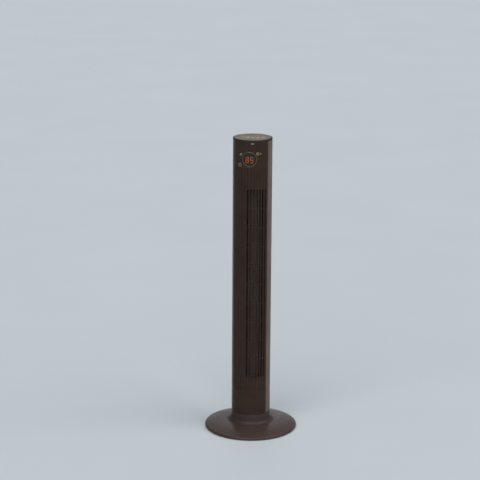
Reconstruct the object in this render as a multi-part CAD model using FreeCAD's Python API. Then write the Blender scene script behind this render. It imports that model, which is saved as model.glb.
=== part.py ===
import FreeCAD, Part
import math
import os

# Tower fan: a round column on a disc foot, with a cross-flow wheel, a geared swivel and a lit control head.
#
# Frame: millimetres, +Z up, the front faces -Y. The origin is on the floor under the column's axis.
# A "turn" is an angle in degrees round the column from the front, positive towards +X.

Vector = FreeCAD.Vector

# ---- driving dimensions -------------------------------------------------------------------------
TOTAL_HEIGHT = 1000.0
COLUMN_R = 65.0
BASE_R = 155.0
WALL = 2.5
GAP = 0.3  # air between parts that move past each other
FIT = 0.05  # air between parts that are fitted together
SEAM = 1.5  # the visible joint between foot and column

# foot
FOOT_PAD_H = 2.5
FOOT_PAD_R = 10.0
FOOT_PAD_CIRCLE = 132.0
FOOT_PAD_COUNT = 6
BASE_SKIN = 3.0
BASE_TOP_Z = 24.0
BASE_RIM_Z = 6.5
BASE_EDGE_R = 5.0
BASE_FLAT_R = 80.0
COVER_T = 2.0
BALLAST_R = (60.0, 134.0)
BALLAST_T = 5.5
BALLAST_SLOT = (6.0, 97.0)  # the radius of the plate's lightening holes, and of the circle they stand on
COVER_SCREW_R = 1.7
COVER_BOSS_R = 4.5
COVER_SCREW_CIRCLE = 142.5
COVER_SCREW_COUNT = 6
COVER_SCREW_TIP_Z = 8.2
DOME_RISE = 2.2  # how far the foot's dome bulges above a straight cone

# neck
NECK_R = 65.0
NECK_WALL = 3.0
NECK_COVE_R = 13.0  # the hollow curve that runs from the neck into the foot
NECK_LIP = 0.4
NECK_TOP_Z = 58.5
NECK_BOSS_R = 5.0
NECK_BOSS_TOP_Z = 36.0
POST_R = 14.0
POST_BORE_R = 10.0
POST_SHOULDER_R = 19.5
NECK_SCREW_CIRCLE = 46.0
NECK_SCREW_R = 2.0
NECK_SCREW_TIP_Z = 33.5
CORD_HOLE_R = 3.6
CORD_HOLE_Z = 45.0
GROMMET_R = 6.0
NUT_R = 22.0
NUT_LOW_Z = 12.5
SLIDE_RING_R = (50.0, 60.0)
LEDGE_Z = (53.0, 56.0)

# swivel
TURNTABLE_R = 61.5
TURNTABLE_TOP_Z = 63.5
HUB_R = 24.0
HUB_TOP_Z = 67.5
POST_TOP_Z = 71.0
SHELL_SCREW_CIRCLE = 57.5
SHELL_SCREW_R = 1.6
SHELL_SCREW_TURNS = (90, 150, 210, 270)
PINION_SHAFT_R = 2.5
PINION_SHAFT_TOP_Z = 70.0
SWING_MOTOR_R = 13.0
SWING_MOTOR_TOP_Z = 82.0

# swivel gears
GEAR_MODULE = 1.25
GEAR_TEETH = 48
PINION_TEETH = 12
PRESSURE_ANGLE = 25.0
GEAR_ADDENDUM = 0.8
GEAR_DEDENDUM = 1.05
GEAR_BACKLASH = 0.25
GEAR_Z = (42.0, 50.0)

# column shell
COLUMN_Z = NECK_TOP_Z + SEAM
CAP_Z = TOTAL_HEIGHT - 6.5
PANEL_HALF_TURN = 60.0
PANEL_INNER_R = COLUMN_R - WALL - 0.7
RIB_TURN = 2.2
RIB_INNER_R = 58.5
RIB_Z = (COLUMN_Z + 6.0, CAP_Z - 12.0)
LEDGE_T = 3.0  # the shell's ledges that carry the turntable's screws and the duct plates
LEDGE_R = (53.0, 54.0)  # the inner radius of the turntable's ledge, and of the duct plates' ledges
SEAM_TURN = 0.35

# reeded front and air outlet
REED_PITCH = 9.2
REED_HALF_COUNT = 6
REED_WIDTH = 5.2
REED_DEPTH = 1.5
HALF_REED = math.degrees(REED_WIDTH / 2 / COLUMN_R)
REED_Z = (141.0, 908.0)
OUTLET_REEDS = (-1, 6)  # the reeds that stand at its two edges, counted from the middle one
OUTLET_TURN = (REED_PITCH * OUTLET_REEDS[0] + HALF_REED, REED_PITCH * OUTLET_REEDS[1] - HALF_REED)
OUTLET_Z = (191.0, 836.5)
OUTLET_CELLS = 10
FIN_WIDTH = 4.8
FIN_INNER_R = 59.0

# rear inlet
INLET_HALF_TURN = 50.0
INLET_Z = (200.0, 828.0)
INLET_COLUMNS = 20
INLET_ROWS = 9
INLET_BORDER = (6.2, 8.4)  # the grille's plain border, in degrees across and millimetres up
INLET_BAR = (1.9, 5.0)  # the grille's bars, in degrees across and millimetres up
GRILLE_SCREW_R = 1.5
GRILLE_HEAD_R = 2.8
GRILLE_SEAT_R = 63.4

# handle recess
HANDLE_HALF_W = 33.0
HANDLE_Z = (876.0, 914.0)
HANDLE_FLOOR_Y = 36.0
HANDLE_CORNER = 9.0
HANDLE_WALL = 2.2

# air duct and wheel
WHEEL_X = -7.0
WHEEL_Y = 8.0
WHEEL_R = 38.0
WHEEL_BORE_R = 28.0
WHEEL_SEGMENTS = 10
WHEEL_PITCH = 65.5
WHEEL_Z = 186.0
BLADES = 28
BLADE_T = 1.1
BLADE_LEAD = 3.6  # how far a blade's outer edge leans ahead of its middle
BLADE_BOW = 1.6
RING_T = 1.6
SEGMENT_TWIST = 4.1  # degrees between one segment and the next
DUCT_Z = (179.0, 848.0)
DUCT_PLATE_R = 58.0
DUCT_PLATE_T = 3.0
DUCT_WALL = 2.0
DUCT_END_R = 57.2
SCROLL_R = (41.5, 66.0)
SCROLL_ENDS = (70.0, -39.5)  # the spiral's first and last directions from the wheel's axis
TONGUE_R = 43.0
TONGUE_ENDS = (-105.0, -150.0)  # the directions of its tip and its heel
SHAFT_R = 4.0
BUSH_R = 8.0
BEARING_RUBBER_R = 13.0
WHEEL_HUB_R = 10.0
HUB_H = 15.0
HUB_SCREW_R = 2.0
DISC_T = 3.0

# motor
MOTOR_R = 42.0
MOTOR_Z = (116.0, 128.0, 158.0, 170.0)  # lower bell, stator, upper bell, top
ROTOR_R = 21.0
MOTOR_SLOTS = 8
MOTOR_SCREW_R = 2.0
MOTOR_SCREW_REACH = 24.0  # the screws' distance from the motor's axis, across and along

# control head
DISPLAY_Z = 937.5
DISPLAY_R = 24.8
DIGIT_H = 19.0
DIGIT_W = 11.0
DIGIT_BAR = 2.4
DIGIT_GAP = 4.2
DIGIT_DROP = 2.5  # how far the digits stand below the ring's middle
LEAF_PLACE = (-26.2, 952.5)  # each lamp's turn and height
MOON_PLACE = (24.2, 955.5)
STAR_PLACE = (32.4, 955.5)
CLOCK_PLACE = (-29.7, 917.0)
LEAF = [(-5.2, -4.4), (-5.8, 1.8), (-1.0, 4.2), (5.4, 5.4), (2.6, -0.4), (-0.2, -4.2)]
MOON_R = 5.2
MOON_HOLLOW = (3.0, 4.52)  # the hollowing circle's offset to the right, and its radius
STAR_R = 3.2
CLOCK_R = (3.2, 6.0)
BADGE_PLACE = (8.8, 988.4)
BADGE_HALF_W = (6.6, 2.2)  # at its head and at its foot
BADGE_HALF_H = 2.0
FILM = (0.02, 0.22)  # how far a printed lamp stands off the panel
BUTTON_R = 6.0
BUTTON_PITCH = 16.5
BUTTON_SAG = 5.0
FLANGE_R = 7.6
BUTTON_STEM_R = 1.8
CAP_EDGE_R = 2.6
CAP_SKIRT_R = (56.0, 58.2)
CAP_GROOVE_R = (60.7, 61.3)  # the line round the cap's paler top plate
CAP_GROOVE_DEPTH = 0.5
DISH_R = 54.0
DISH_DEPTH = 1.2
CAP_POST_CIRCLE = 46.0
CAP_POST_TURNS = (45, 135, 225, 315)
CAP_POST_R = 3.5
BOARD_SCREW_R = 1.3
BOARD_T = 1.6
CONTROL_BOARD_Z = CAP_Z - 12.0  # its upper face
DISPLAY_BOARD_Y = 47.6  # the board's distance in front of the axis
DISPLAY_POSTS = (27, (-21, 22))  # across, and up from the display's middle
POWER_BOARD_Y = 25.6
POWER_POSTS = (30, (928, 968))
BOARD_POST_R = 2.5

ORIGIN = Vector(0, 0, 0)
UP = Vector(0, 0, 1)
BACK = Vector(0, 1, 0)
RIGHT = Vector(1, 0, 0)


# ---- shape helpers ------------------------------------------------------------------------------
def cylinder(radius, low, high, x=0.0, y=0.0):
    """An upright cylinder between two heights."""
    return Part.makeCylinder(radius, high - low, Vector(x, y, low))


def tube(inner, outer, low, high, x=0.0, y=0.0):
    """An upright tube between two heights."""
    return cylinder(outer, low, high, x, y).cut(cylinder(inner, low - 1, high + 1, x, y))


def block(low, high):
    """A box between two corners."""
    size = [b - a for a, b in zip(low, high)]
    return Part.makeBox(*size, Vector(*low))


def revolve(edges):
    """A solid of revolution about Z from edges in the XZ plane."""
    face = Part.Face(Part.Wire(edges))
    return face.revolve(ORIGIN, UP, 360)


def line(a, b):
    """A straight edge in the XZ plane, from (r, z) to (r, z)."""
    return Part.LineSegment(Vector(a[0], 0, a[1]), Vector(b[0], 0, b[1])).toShape()


def arc(a, middle, b):
    """An arc in the XZ plane through three (r, z) points."""
    points = [Vector(r, 0, z) for r, z in (a, middle, b)]
    return Part.Arc(*points).toShape()


def turned(shape, turn, centre=ORIGIN):
    """The shape moved round the column by a turn, in degrees."""
    copy = shape.copy()
    copy.rotate(centre, UP, turn)
    return copy


def sector(inner, outer, low, high, start, end):
    """A stretch of tube wall between two turns from the front."""
    corners = [(inner, low), (outer, low), (outer, high), (inner, high)]
    edges = [line(a, b) for a, b in zip(corners, corners[1:] + corners[:1])]
    face = Part.Face(Part.Wire(edges))
    face.rotate(ORIGIN, UP, start - 90)
    return face.revolve(ORIGIN, UP, end - start)


def at_turn(radius, turn):
    """The (x, y) of a point at a radius and a turn from the front."""
    angle = math.radians(turn - 90)
    return radius * math.cos(angle), radius * math.sin(angle)


def fuse(shapes):
    """One shape from many that touch or overlap."""
    joined = shapes[0].multiFuse(shapes[1:]) if len(shapes) > 1 else shapes[0]
    return joined.removeSplitter()


def round_edges(shape, radius, wanted):
    """Fillets the edges for which wanted(edge) is true."""
    edges = [e for e in shape.Edges if wanted(e)]
    return shape.makeFillet(radius, edges)


def ring_edge_at(z, radius, tolerance=0.01):
    """A test for circular edges of one radius at one height."""

    def wanted(edge):
        curve = edge.Curve
        if not isinstance(curve, Part.Circle):
            return False
        return abs(curve.Radius - radius) < tolerance and abs(curve.Center.z - z) < tolerance

    return wanted


def ring_of(shape, count, first=0.0):
    """Copies of a shape spread evenly round Z."""
    return [turned(shape, first + 360.0 * i / count) for i in range(count)]


def screw(x, y, head_z, tip_z, radius, head_r, head_h):
    """A pan-head screw with a cross slot, its head at head_z and its tip at tip_z."""
    down = tip_z < head_z
    low, high = (tip_z, head_z) if down else (head_z, tip_z)
    shank = cylinder(radius, low, high, x, y)
    if down:
        head = cylinder(head_r, head_z, head_z + head_h, x, y)
        slot_z = head_z + head_h * 0.5
    else:
        head = cylinder(head_r, head_z - head_h, head_z, x, y)
        slot_z = head_z - head_h
    half = head_r * 0.6
    width = head_r * 0.14
    for dx, dy in ((half, width), (width, half)):
        low_corner = (x - dx, y - dy, slot_z)
        high_corner = (x + dx, y + dy, slot_z + head_h * 0.5)
        head = head.cut(block(low_corner, high_corner))
    return shank.fuse(head)


def involute_gear(module, teeth, low, high, x, y, bore, phase):
    """A spur gear with involute flanks. phase is the direction of one tooth's middle, in degrees."""
    pitch_r = module * teeth / 2
    base_r = pitch_r * math.cos(math.radians(PRESSURE_ANGLE))
    tip_r = pitch_r + GEAR_ADDENDUM * module
    root_r = pitch_r - GEAR_DEDENDUM * module
    start_r = max(base_r, root_r)

    def involute(radius):
        roll = math.acos(min(1.0, base_r / radius))
        return math.tan(roll) - roll

    half_tooth = math.pi / (2 * teeth) - GEAR_BACKLASH / (4 * pitch_r) + involute(pitch_r)

    def point(radius, angle):
        return Vector(x + radius * math.cos(angle), y + radius * math.sin(angle), low)

    radii = [start_r + (tip_r - start_r) * i / 4 for i in range(5)]
    edges = []
    for tooth in range(teeth):
        middle = math.radians(phase) + 2 * math.pi * tooth / teeth
        rising = [point(r, middle - half_tooth + involute(r)) for r in radii]
        falling = [point(r, middle + half_tooth - involute(r)) for r in reversed(radii)]
        if start_r > root_r:
            rising.insert(0, point(root_r, middle - half_tooth))
            falling.append(point(root_r, middle + half_tooth))
        outline = rising + falling
        for a, b in zip(outline, outline[1:]):
            edges.append(Part.LineSegment(a, b).toShape())
        root_middle = point(root_r, middle + math.pi / teeth)
        next_foot = point(root_r, middle + 2 * math.pi / teeth - half_tooth + involute(start_r))
        edges.append(Part.Arc(falling[-1], root_middle, next_foot).toShape())
    face = Part.Face(Part.Wire(Part.__sortEdges__(edges)))
    blank = face.extrude(Vector(0, 0, high - low))
    return blank.cut(cylinder(bore, low - 1, high + 1, x, y))


def on_column(outline, turn, z, inner, outer):
    """A flat outline in (across, up) laid on the column's round face as a thin plate."""
    points = [Vector(u, -2 * COLUMN_R, z + v) for u, v in outline]
    face = Part.Face(Part.makePolygon(points + points[:1]))
    prism = face.extrude(BACK * 2 * COLUMN_R)
    plate = prism.common(sector(inner, outer, z - 60, z + 60, -50, 50))
    return turned(plate, turn)


def disc_on_column(radius, turn, z, inner, outer, hole=0.0):
    """A round plate or ring laid on the column's round face."""
    prism = Part.makeCylinder(radius, 2 * COLUMN_R, Vector(0, -2 * COLUMN_R, z), BACK)
    if hole:
        prism = prism.cut(Part.makeCylinder(hole, 2 * COLUMN_R, Vector(0, -2 * COLUMN_R, z), BACK))
    plate = prism.common(sector(inner, outer, z - 60, z + 60, -50, 50))
    return turned(plate, turn)


# ---- foot ---------------------------------------------------------------------------------------
def dome_height(radius):
    """The height of the foot's upper skin at a radius, on the line from its edge to its flat top."""
    edge_r = BASE_R - BASE_EDGE_R
    edge_z = BASE_RIM_Z + BASE_EDGE_R
    share = (edge_r - radius) / (edge_r - BASE_FLAT_R)
    return edge_z + (BASE_TOP_Z - edge_z) * share


def foot_profile(inset):
    """The foot's outer outline, or the same outline moved inwards by its skin."""
    corner = BASE_EDGE_R - inset
    centre_r = BASE_R - BASE_EDGE_R
    diagonal = corner * math.sin(math.radians(45))
    rim_low = (BASE_R - inset, FOOT_PAD_H)
    rim_high = (BASE_R - inset, BASE_RIM_Z)
    edge_middle = (centre_r + diagonal, BASE_RIM_Z + diagonal)
    edge_end = (centre_r, BASE_RIM_Z + corner)
    middle_r = (centre_r + BASE_FLAT_R) / 2
    dome_middle = (middle_r, dome_height(middle_r) + DOME_RISE - inset)
    flat = (BASE_FLAT_R, BASE_TOP_Z - inset)
    centre = (POST_R + FIT, BASE_TOP_Z - inset)
    edges = [line(rim_low, rim_high), arc(rim_high, edge_middle, edge_end)]
    edges += [arc(edge_end, dome_middle, flat), line(flat, centre)]
    return edges, rim_low, centre


def make_base_shell():
    outer, outer_rim, outer_centre = foot_profile(0.0)
    inner, inner_rim, inner_centre = foot_profile(BASE_SKIN)
    inner.reverse()
    shell = revolve(outer + [line(outer_centre, inner_centre)] + inner + [line(inner_rim, outer_rim)])
    boss_top = dome_height(COVER_SCREW_CIRCLE) - BASE_SKIN + 1.0
    boss = cylinder(COVER_BOSS_R, FOOT_PAD_H + COVER_T, boss_top, COVER_SCREW_CIRCLE, 0)
    shell = fuse([shell] + ring_of(boss, COVER_SCREW_COUNT))
    pilot = cylinder(COVER_SCREW_R + FIT, FOOT_PAD_H, COVER_SCREW_TIP_Z + 0.1, COVER_SCREW_CIRCLE, 0)
    neck_hole = cylinder(NECK_SCREW_R + 0.2, 0, BASE_TOP_Z + 1, NECK_SCREW_CIRCLE, 0)
    for hole in ring_of(pilot, COVER_SCREW_COUNT) + ring_of(neck_hole, 4, 45):
        shell = shell.cut(hole)
    return shell


def make_base_cover():
    cover = cylinder(BASE_R - BASE_SKIN - GAP, FOOT_PAD_H, FOOT_PAD_H + COVER_T)
    hole = cylinder(COVER_SCREW_R + 0.2, 0, 10, COVER_SCREW_CIRCLE, 0)
    for cutter in ring_of(hole, COVER_SCREW_COUNT):
        cover = cover.cut(cutter)
    return cover


def make_ballast_plate():
    low = FOOT_PAD_H + COVER_T
    plate = tube(BALLAST_R[0], BALLAST_R[1], low, low + BALLAST_T)
    slot_r, slot_circle = BALLAST_SLOT
    slot = cylinder(slot_r, low - 1, low + BALLAST_T + 1, slot_circle, 0)
    for cutter in ring_of(slot, 4, 30):
        plate = plate.cut(cutter)
    return plate


def make_rubber_feet():
    pad = cylinder(FOOT_PAD_R, 0, FOOT_PAD_H, FOOT_PAD_CIRCLE, 0)
    pad = pad.makeChamfer(0.8, [e for e in pad.Edges if abs(e.BoundBox.ZMax) < 0.01])
    return Part.makeCompound(ring_of(pad, FOOT_PAD_COUNT, 30))


def make_cover_screws():
    one = screw(COVER_SCREW_CIRCLE, 0, FOOT_PAD_H, COVER_SCREW_TIP_Z, COVER_SCREW_R, 3.4, 1.4)
    return Part.makeCompound(ring_of(one, COVER_SCREW_COUNT))


# ---- neck and swivel ----------------------------------------------------------------------------
def neck_cup():
    """The neck's wall and floor: a lip on the foot, a hollow cove, and a straight sleeve."""
    cove_r = NECK_R + NECK_COVE_R
    cove_low = BASE_TOP_Z + NECK_LIP
    cove_high = cove_low + NECK_COVE_R
    diagonal = NECK_COVE_R * math.sin(math.radians(45))
    inner_r = NECK_R - NECK_WALL
    floor_z = BASE_TOP_Z + NECK_WALL
    bore_r = POST_R + FIT
    cove = arc((cove_r, cove_low), (cove_r - diagonal, cove_high - diagonal), (NECK_R, cove_high))
    corners = [(NECK_R, cove_high), (NECK_R, NECK_TOP_Z), (inner_r, NECK_TOP_Z), (inner_r, floor_z)]
    corners += [(bore_r, floor_z), (bore_r, BASE_TOP_Z), (cove_r, BASE_TOP_Z), (cove_r, cove_low)]
    return revolve([cove] + [line(a, b) for a, b in zip(corners, corners[1:])])


def make_neck():
    floor_z = BASE_TOP_Z + NECK_WALL
    ledge = tube(SLIDE_RING_R[0] - 1, NECK_R - NECK_WALL + 1, *LEDGE_Z)
    pedestal = tube(POST_SHOULDER_R + 1, POST_SHOULDER_R + 6.5, floor_z, GEAR_Z[0])
    boss = cylinder(NECK_BOSS_R, floor_z, NECK_BOSS_TOP_Z, NECK_SCREW_CIRCLE, 0)
    neck = fuse([neck_cup(), ledge, pedestal] + ring_of(boss, 4, 45))
    pilot = cylinder(NECK_SCREW_R + FIT, 0, NECK_SCREW_TIP_Z + 1, NECK_SCREW_CIRCLE, 0)
    for cutter in ring_of(pilot, 4, 45):
        neck = neck.cut(cutter)
    cord_way = Part.makeCylinder(GROMMET_R, 20, Vector(0, NECK_R - 12, CORD_HOLE_Z), BACK)
    return neck.cut(cord_way)


def make_neck_screws():
    head_z = BASE_TOP_Z - BASE_SKIN
    one = screw(NECK_SCREW_CIRCLE, 0, head_z, NECK_SCREW_TIP_Z, NECK_SCREW_R, 3.8, 2.4)
    return Part.makeCompound(ring_of(one, 4, 45))


def make_cord_grommet():
    y_in = NECK_R - NECK_WALL - 2.5
    y_out = NECK_R + 4.0
    sleeve = Part.makeCylinder(GROMMET_R - FIT, y_out - y_in, Vector(0, y_in, CORD_HOLE_Z), BACK)
    collar = Part.makeCone(8.6, 7.2, 3.6, Vector(0, NECK_R + 0.4, CORD_HOLE_Z), BACK)
    barb = Part.makeCone(6.4, 6.9, 1.6, Vector(0, y_in, CORD_HOLE_Z), BACK)
    bore = Part.makeCylinder(CORD_HOLE_R, 40, Vector(0, y_in - 10, CORD_HOLE_Z), BACK)
    return fuse([sleeve, collar, barb]).cut(bore)


def make_pivot_post():
    stem = cylinder(POST_R, 11.0, POST_TOP_Z)
    shoulder = cylinder(POST_SHOULDER_R, BASE_TOP_Z + NECK_WALL, BASE_TOP_Z + NECK_WALL + 3.0)
    return stem.fuse(shoulder).cut(cylinder(POST_BORE_R, 0, 80)).removeSplitter()


def make_base_nut():
    angles = [math.radians(60 * i) for i in range(6)]
    corners = [Vector(NUT_R * math.cos(a), NUT_R * math.sin(a), NUT_LOW_Z) for a in angles]
    face = Part.Face(Part.makePolygon(corners + corners[:1]))
    nut = face.extrude(Vector(0, 0, BASE_TOP_Z - BASE_SKIN - NUT_LOW_Z))
    return nut.cut(cylinder(POST_R + FIT, 0, 30))


def make_swivel_gear():
    return involute_gear(GEAR_MODULE, GEAR_TEETH, *GEAR_Z, 0, 0, POST_R + FIT, -90)


def pinion_centre():
    """The pinion stands in front of the fixed gear, at the sum of their pitch radii."""
    return 0.0, -GEAR_MODULE * (GEAR_TEETH + PINION_TEETH) / 2


def make_drive_pinion():
    x, y = pinion_centre()
    phase = 90 + 180 / PINION_TEETH
    return involute_gear(GEAR_MODULE, PINION_TEETH, *GEAR_Z, x, y, PINION_SHAFT_R + FIT, phase)


def make_pinion_shaft():
    x, y = pinion_centre()
    return cylinder(PINION_SHAFT_R, GEAR_Z[0], PINION_SHAFT_TOP_Z, x, y)


def make_slide_ring():
    return tube(*SLIDE_RING_R, LEDGE_Z[1], NECK_TOP_Z - GAP)


def make_retaining_ring():
    return tube(POST_R + FIT, POST_R + 5.0, HUB_TOP_Z + GAP, POST_TOP_Z - 1.0)


# ---- column shell -------------------------------------------------------------------------------
def make_turntable():
    plate = cylinder(TURNTABLE_R, NECK_TOP_Z, TURNTABLE_TOP_Z)
    hub = cylinder(HUB_R, TURNTABLE_TOP_Z, HUB_TOP_Z)
    bore = cylinder(POST_R + 0.08, 0, 80)
    x, y = pinion_centre()
    shaft_way = cylinder(PINION_SHAFT_R + 2.0, 0, 80, x, y)
    turntable = plate.fuse(hub).cut(bore).cut(shaft_way)
    for turn in SHELL_SCREW_TURNS:
        x, y = at_turn(SHELL_SCREW_CIRCLE, turn)
        turntable = turntable.cut(cylinder(SHELL_SCREW_R + FIT, 60.0, 80, x, y))
    return turntable.removeSplitter()


def make_turntable_screws():
    screws = []
    for turn in SHELL_SCREW_TURNS:
        x, y = at_turn(SHELL_SCREW_CIRCLE, turn)
        screws.append(screw(x, y, TURNTABLE_TOP_Z + LEDGE_T, 60.2, SHELL_SCREW_R, 3.2, 2.2))
    return Part.makeCompound(screws)


def make_swing_motor():
    x, y = pinion_centre()
    can = cylinder(SWING_MOTOR_R, TURNTABLE_TOP_Z, SWING_MOTOR_TOP_Z, x, y)
    lid = cylinder(SWING_MOTOR_R - 2.5, SWING_MOTOR_TOP_Z, SWING_MOTOR_TOP_Z + 2.0, x, y)
    ears = block((x - 20, y - 4, TURNTABLE_TOP_Z), (x + 20, y + 4, TURNTABLE_TOP_Z + 1.5))
    terminal = block((x - 7, y - 17.5, 68.0), (x + 7, y - 12.0, 76.0))
    motor = fuse([can, lid, ears, terminal])
    return motor.cut(cylinder(PINION_SHAFT_R + FIT, 60.0, PINION_SHAFT_TOP_Z + 2.0, x, y))


def rear_shell_walls():
    """The rear shell's skin, its two edge ribs, and the ledges that carry the turntable and duct plates."""
    start = PANEL_HALF_TURN + SEAM_TURN
    end = 360 - start
    inner = COLUMN_R - WALL
    into_skin = inner + 0.5
    lower_plate_z = DUCT_Z[0] - DUCT_PLATE_T
    upper_plate_z = DUCT_Z[1] + DUCT_PLATE_T
    ledges = [
        (LEDGE_R[0], TURNTABLE_TOP_Z),
        (LEDGE_R[1], lower_plate_z - LEDGE_T),
        (LEDGE_R[1], upper_plate_z),
    ]
    pieces = [sector(inner, COLUMN_R, COLUMN_Z, CAP_Z, start, end)]
    pieces.append(sector(RIB_INNER_R, into_skin, *RIB_Z, start, start + RIB_TURN))
    pieces.append(sector(RIB_INNER_R, into_skin, *RIB_Z, end - RIB_TURN, end))
    for ledge_r, z in ledges:
        pieces.append(sector(ledge_r, into_skin, z, z + LEDGE_T, start + 6, end - 6))
    return fuse(pieces)


def make_rear_shell():
    inner = COLUMN_R - WALL
    inlet = sector(inner - 1, COLUMN_R + 5, *INLET_Z, 180 - INLET_HALF_TURN, 180 + INLET_HALF_TURN)
    shell = rear_shell_walls().cut(inlet).cut(handle_block(0.0, 20.0, 90.0))
    across, heights = POWER_POSTS
    posts = [
        Part.makeCylinder(BOARD_POST_R, 29.5, Vector(x, POWER_BOARD_Y, z), BACK)
        for x in (-across, across) for z in heights
    ]
    tabs = [
        sector(59.5, inner, z - 6.5, z + 6.5, turn - 4.0, turn + 4.0) for turn, z in grille_screw_places()
    ]
    shell = fuse([shell] + posts + tabs)
    for turn in SHELL_SCREW_TURNS:
        x, y = at_turn(SHELL_SCREW_CIRCLE, turn)
        shell = shell.cut(cylinder(SHELL_SCREW_R + FIT, 60.0, 67.0, x, y))
    for turn, z in grille_screw_places():
        shell = shell.cut(turned(forward_cylinder(GRILLE_SCREW_R + FIT, 58.0, 70.0, 0, z), turn))
    return shell


def forward_cylinder(radius, near, far, x, z):
    """A level cylinder that points forwards, from y = -near to y = -far."""
    return Part.makeCylinder(radius, far - near, Vector(x, -far, z), BACK)


def grille_screw_places():
    """The turn and height of the inlet grille's corner screws."""
    turns = [180 - INLET_HALF_TURN + 3.2, 180 + INLET_HALF_TURN - 3.2]
    return [(turn, z) for turn in turns for z in (INLET_Z[0] + 4.2, INLET_Z[1] - 4.2)]


def reeds():
    """The turns of the vertical reeds, left to right."""
    return [REED_PITCH * i for i in range(-REED_HALF_COUNT, REED_HALF_COUNT + 1)]


def make_front_panel():
    edge = PANEL_HALF_TURN - SEAM_TURN
    skin = sector(PANEL_INNER_R, COLUMN_R, COLUMN_Z, CAP_Z, -edge, edge)
    ribs = [
        sector(RIB_INNER_R, PANEL_INNER_R + 0.5, *RIB_Z, start, start + RIB_TURN)
        for start in (-edge, edge - RIB_TURN)
    ]
    across, heights = DISPLAY_POSTS
    posts = [
        forward_cylinder(BOARD_POST_R, DISPLAY_BOARD_Y, 57.5, x, DISPLAY_Z + z)
        for x in (-across, across) for z in heights
    ]
    panel = fuse([skin] + ribs + posts)
    grooves = [
        sector(COLUMN_R - REED_DEPTH, COLUMN_R + 2, *REED_Z, left + HALF_REED, right - HALF_REED)
        for left, right in zip(reeds(), reeds()[1:])
    ]
    panel = panel.cut(Part.makeCompound(grooves))
    panel = panel.cut(sector(PANEL_INNER_R - 4, COLUMN_R + 3, *OUTLET_Z, *OUTLET_TURN))
    return panel.cut(forward_cylinder(DISPLAY_R - 1.2, PANEL_INNER_R - 10, COLUMN_R + 10, 0, DISPLAY_Z))


def make_outlet_grille():
    low, high = OUTLET_Z
    left, right = OUTLET_TURN
    inner = PANEL_INNER_R
    frame = sector(FIN_INNER_R + 0.6, inner - FIT, low - 5, high + 5, left - 2.6, right + 2.6)
    frame = frame.cut(sector(50, 70, low + 1.5, high - 1.5, left + 0.3, right - 0.3))
    pieces = [frame]
    for turn in reeds():
        if left < turn < right:
            fin = block((-FIN_WIDTH / 2, -COLUMN_R, low + 0.2), (FIN_WIDTH / 2, -FIN_INNER_R, high - 0.2))
            fin = fin.common(cylinder(COLUMN_R, low, high))
            pieces.append(turned(fin, turn))
    pitch = (high - low) / OUTLET_CELLS
    for cell in range(1, OUTLET_CELLS):
        z = low + pitch * cell
        bar = sector(FIN_INNER_R + 0.6, inner - FIT, z - 1.1, z + 1.1, left - 0.5, right + 0.5)
        lip = sector(inner - FIT, COLUMN_R - 0.9, z - 1.1, z + 1.1, left + 0.3, right - 0.3)
        pieces += [bar, lip]
    return fuse(pieces)


def make_rear_grille():
    half = INLET_HALF_TURN - 0.3
    low, high = INLET_Z[0] + 0.3, INLET_Z[1] - 0.3
    skin = sector(COLUMN_R - WALL, COLUMN_R - 0.6, low, high, 180 - half, 180 + half)
    border_turn, border_z = INLET_BORDER
    bar_turn, bar_z = INLET_BAR
    turn_pitch = (2 * (half - border_turn) + bar_turn) / INLET_COLUMNS
    z_pitch = (high - low - 2 * border_z + bar_z) / INLET_ROWS
    slots = []
    for column in range(INLET_COLUMNS):
        start = 180 - half + border_turn + column * turn_pitch
        for row in range(INLET_ROWS):
            z = low + border_z + row * z_pitch
            slots.append(sector(50, 70, z, z + z_pitch - bar_z, start, start + turn_pitch - bar_turn))
    grille = skin.cut(Part.makeCompound(slots))
    for turn, z in grille_screw_places():
        grille = grille.cut(turned(forward_cylinder(GRILLE_SCREW_R + FIT, 50.0, 70.0, 0, z), turn))
        grille = grille.cut(turned(forward_cylinder(GRILLE_HEAD_R + 0.2, GRILLE_SEAT_R, 70.0, 0, z), turn))
    return grille


def handle_block(inset, y_low, y_high):
    """A rounded block through the back of the column at the handle, smaller by inset all round."""
    low, high = HANDLE_Z[0] + inset, HANDLE_Z[1] - inset
    half = HANDLE_HALF_W - inset
    body = block((-half, y_low, low), (half, y_high, high))
    corners = [e for e in body.Edges if abs(e.BoundBox.YLength - (y_high - y_low)) < 0.01]
    return body.makeFillet(HANDLE_CORNER - inset, corners)


def make_handle_cup():
    outer = handle_block(0.2, HANDLE_FLOOR_Y, 80.0)
    inner = handle_block(0.2 + HANDLE_WALL, HANDLE_FLOOR_Y + HANDLE_WALL, 90.0)
    return outer.cut(inner).common(cylinder(COLUMN_R, HANDLE_Z[0] - 5, HANDLE_Z[1] + 5))


# ---- air duct, wheel and motor ------------------------------------------------------------------
def from_wheel(radius, degrees):
    """A point at a distance and direction from the wheel's axis."""
    angle = math.radians(degrees)
    return Vector(WHEEL_X + radius * math.cos(angle), WHEEL_Y + radius * math.sin(angle), DUCT_Z[0])


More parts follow.
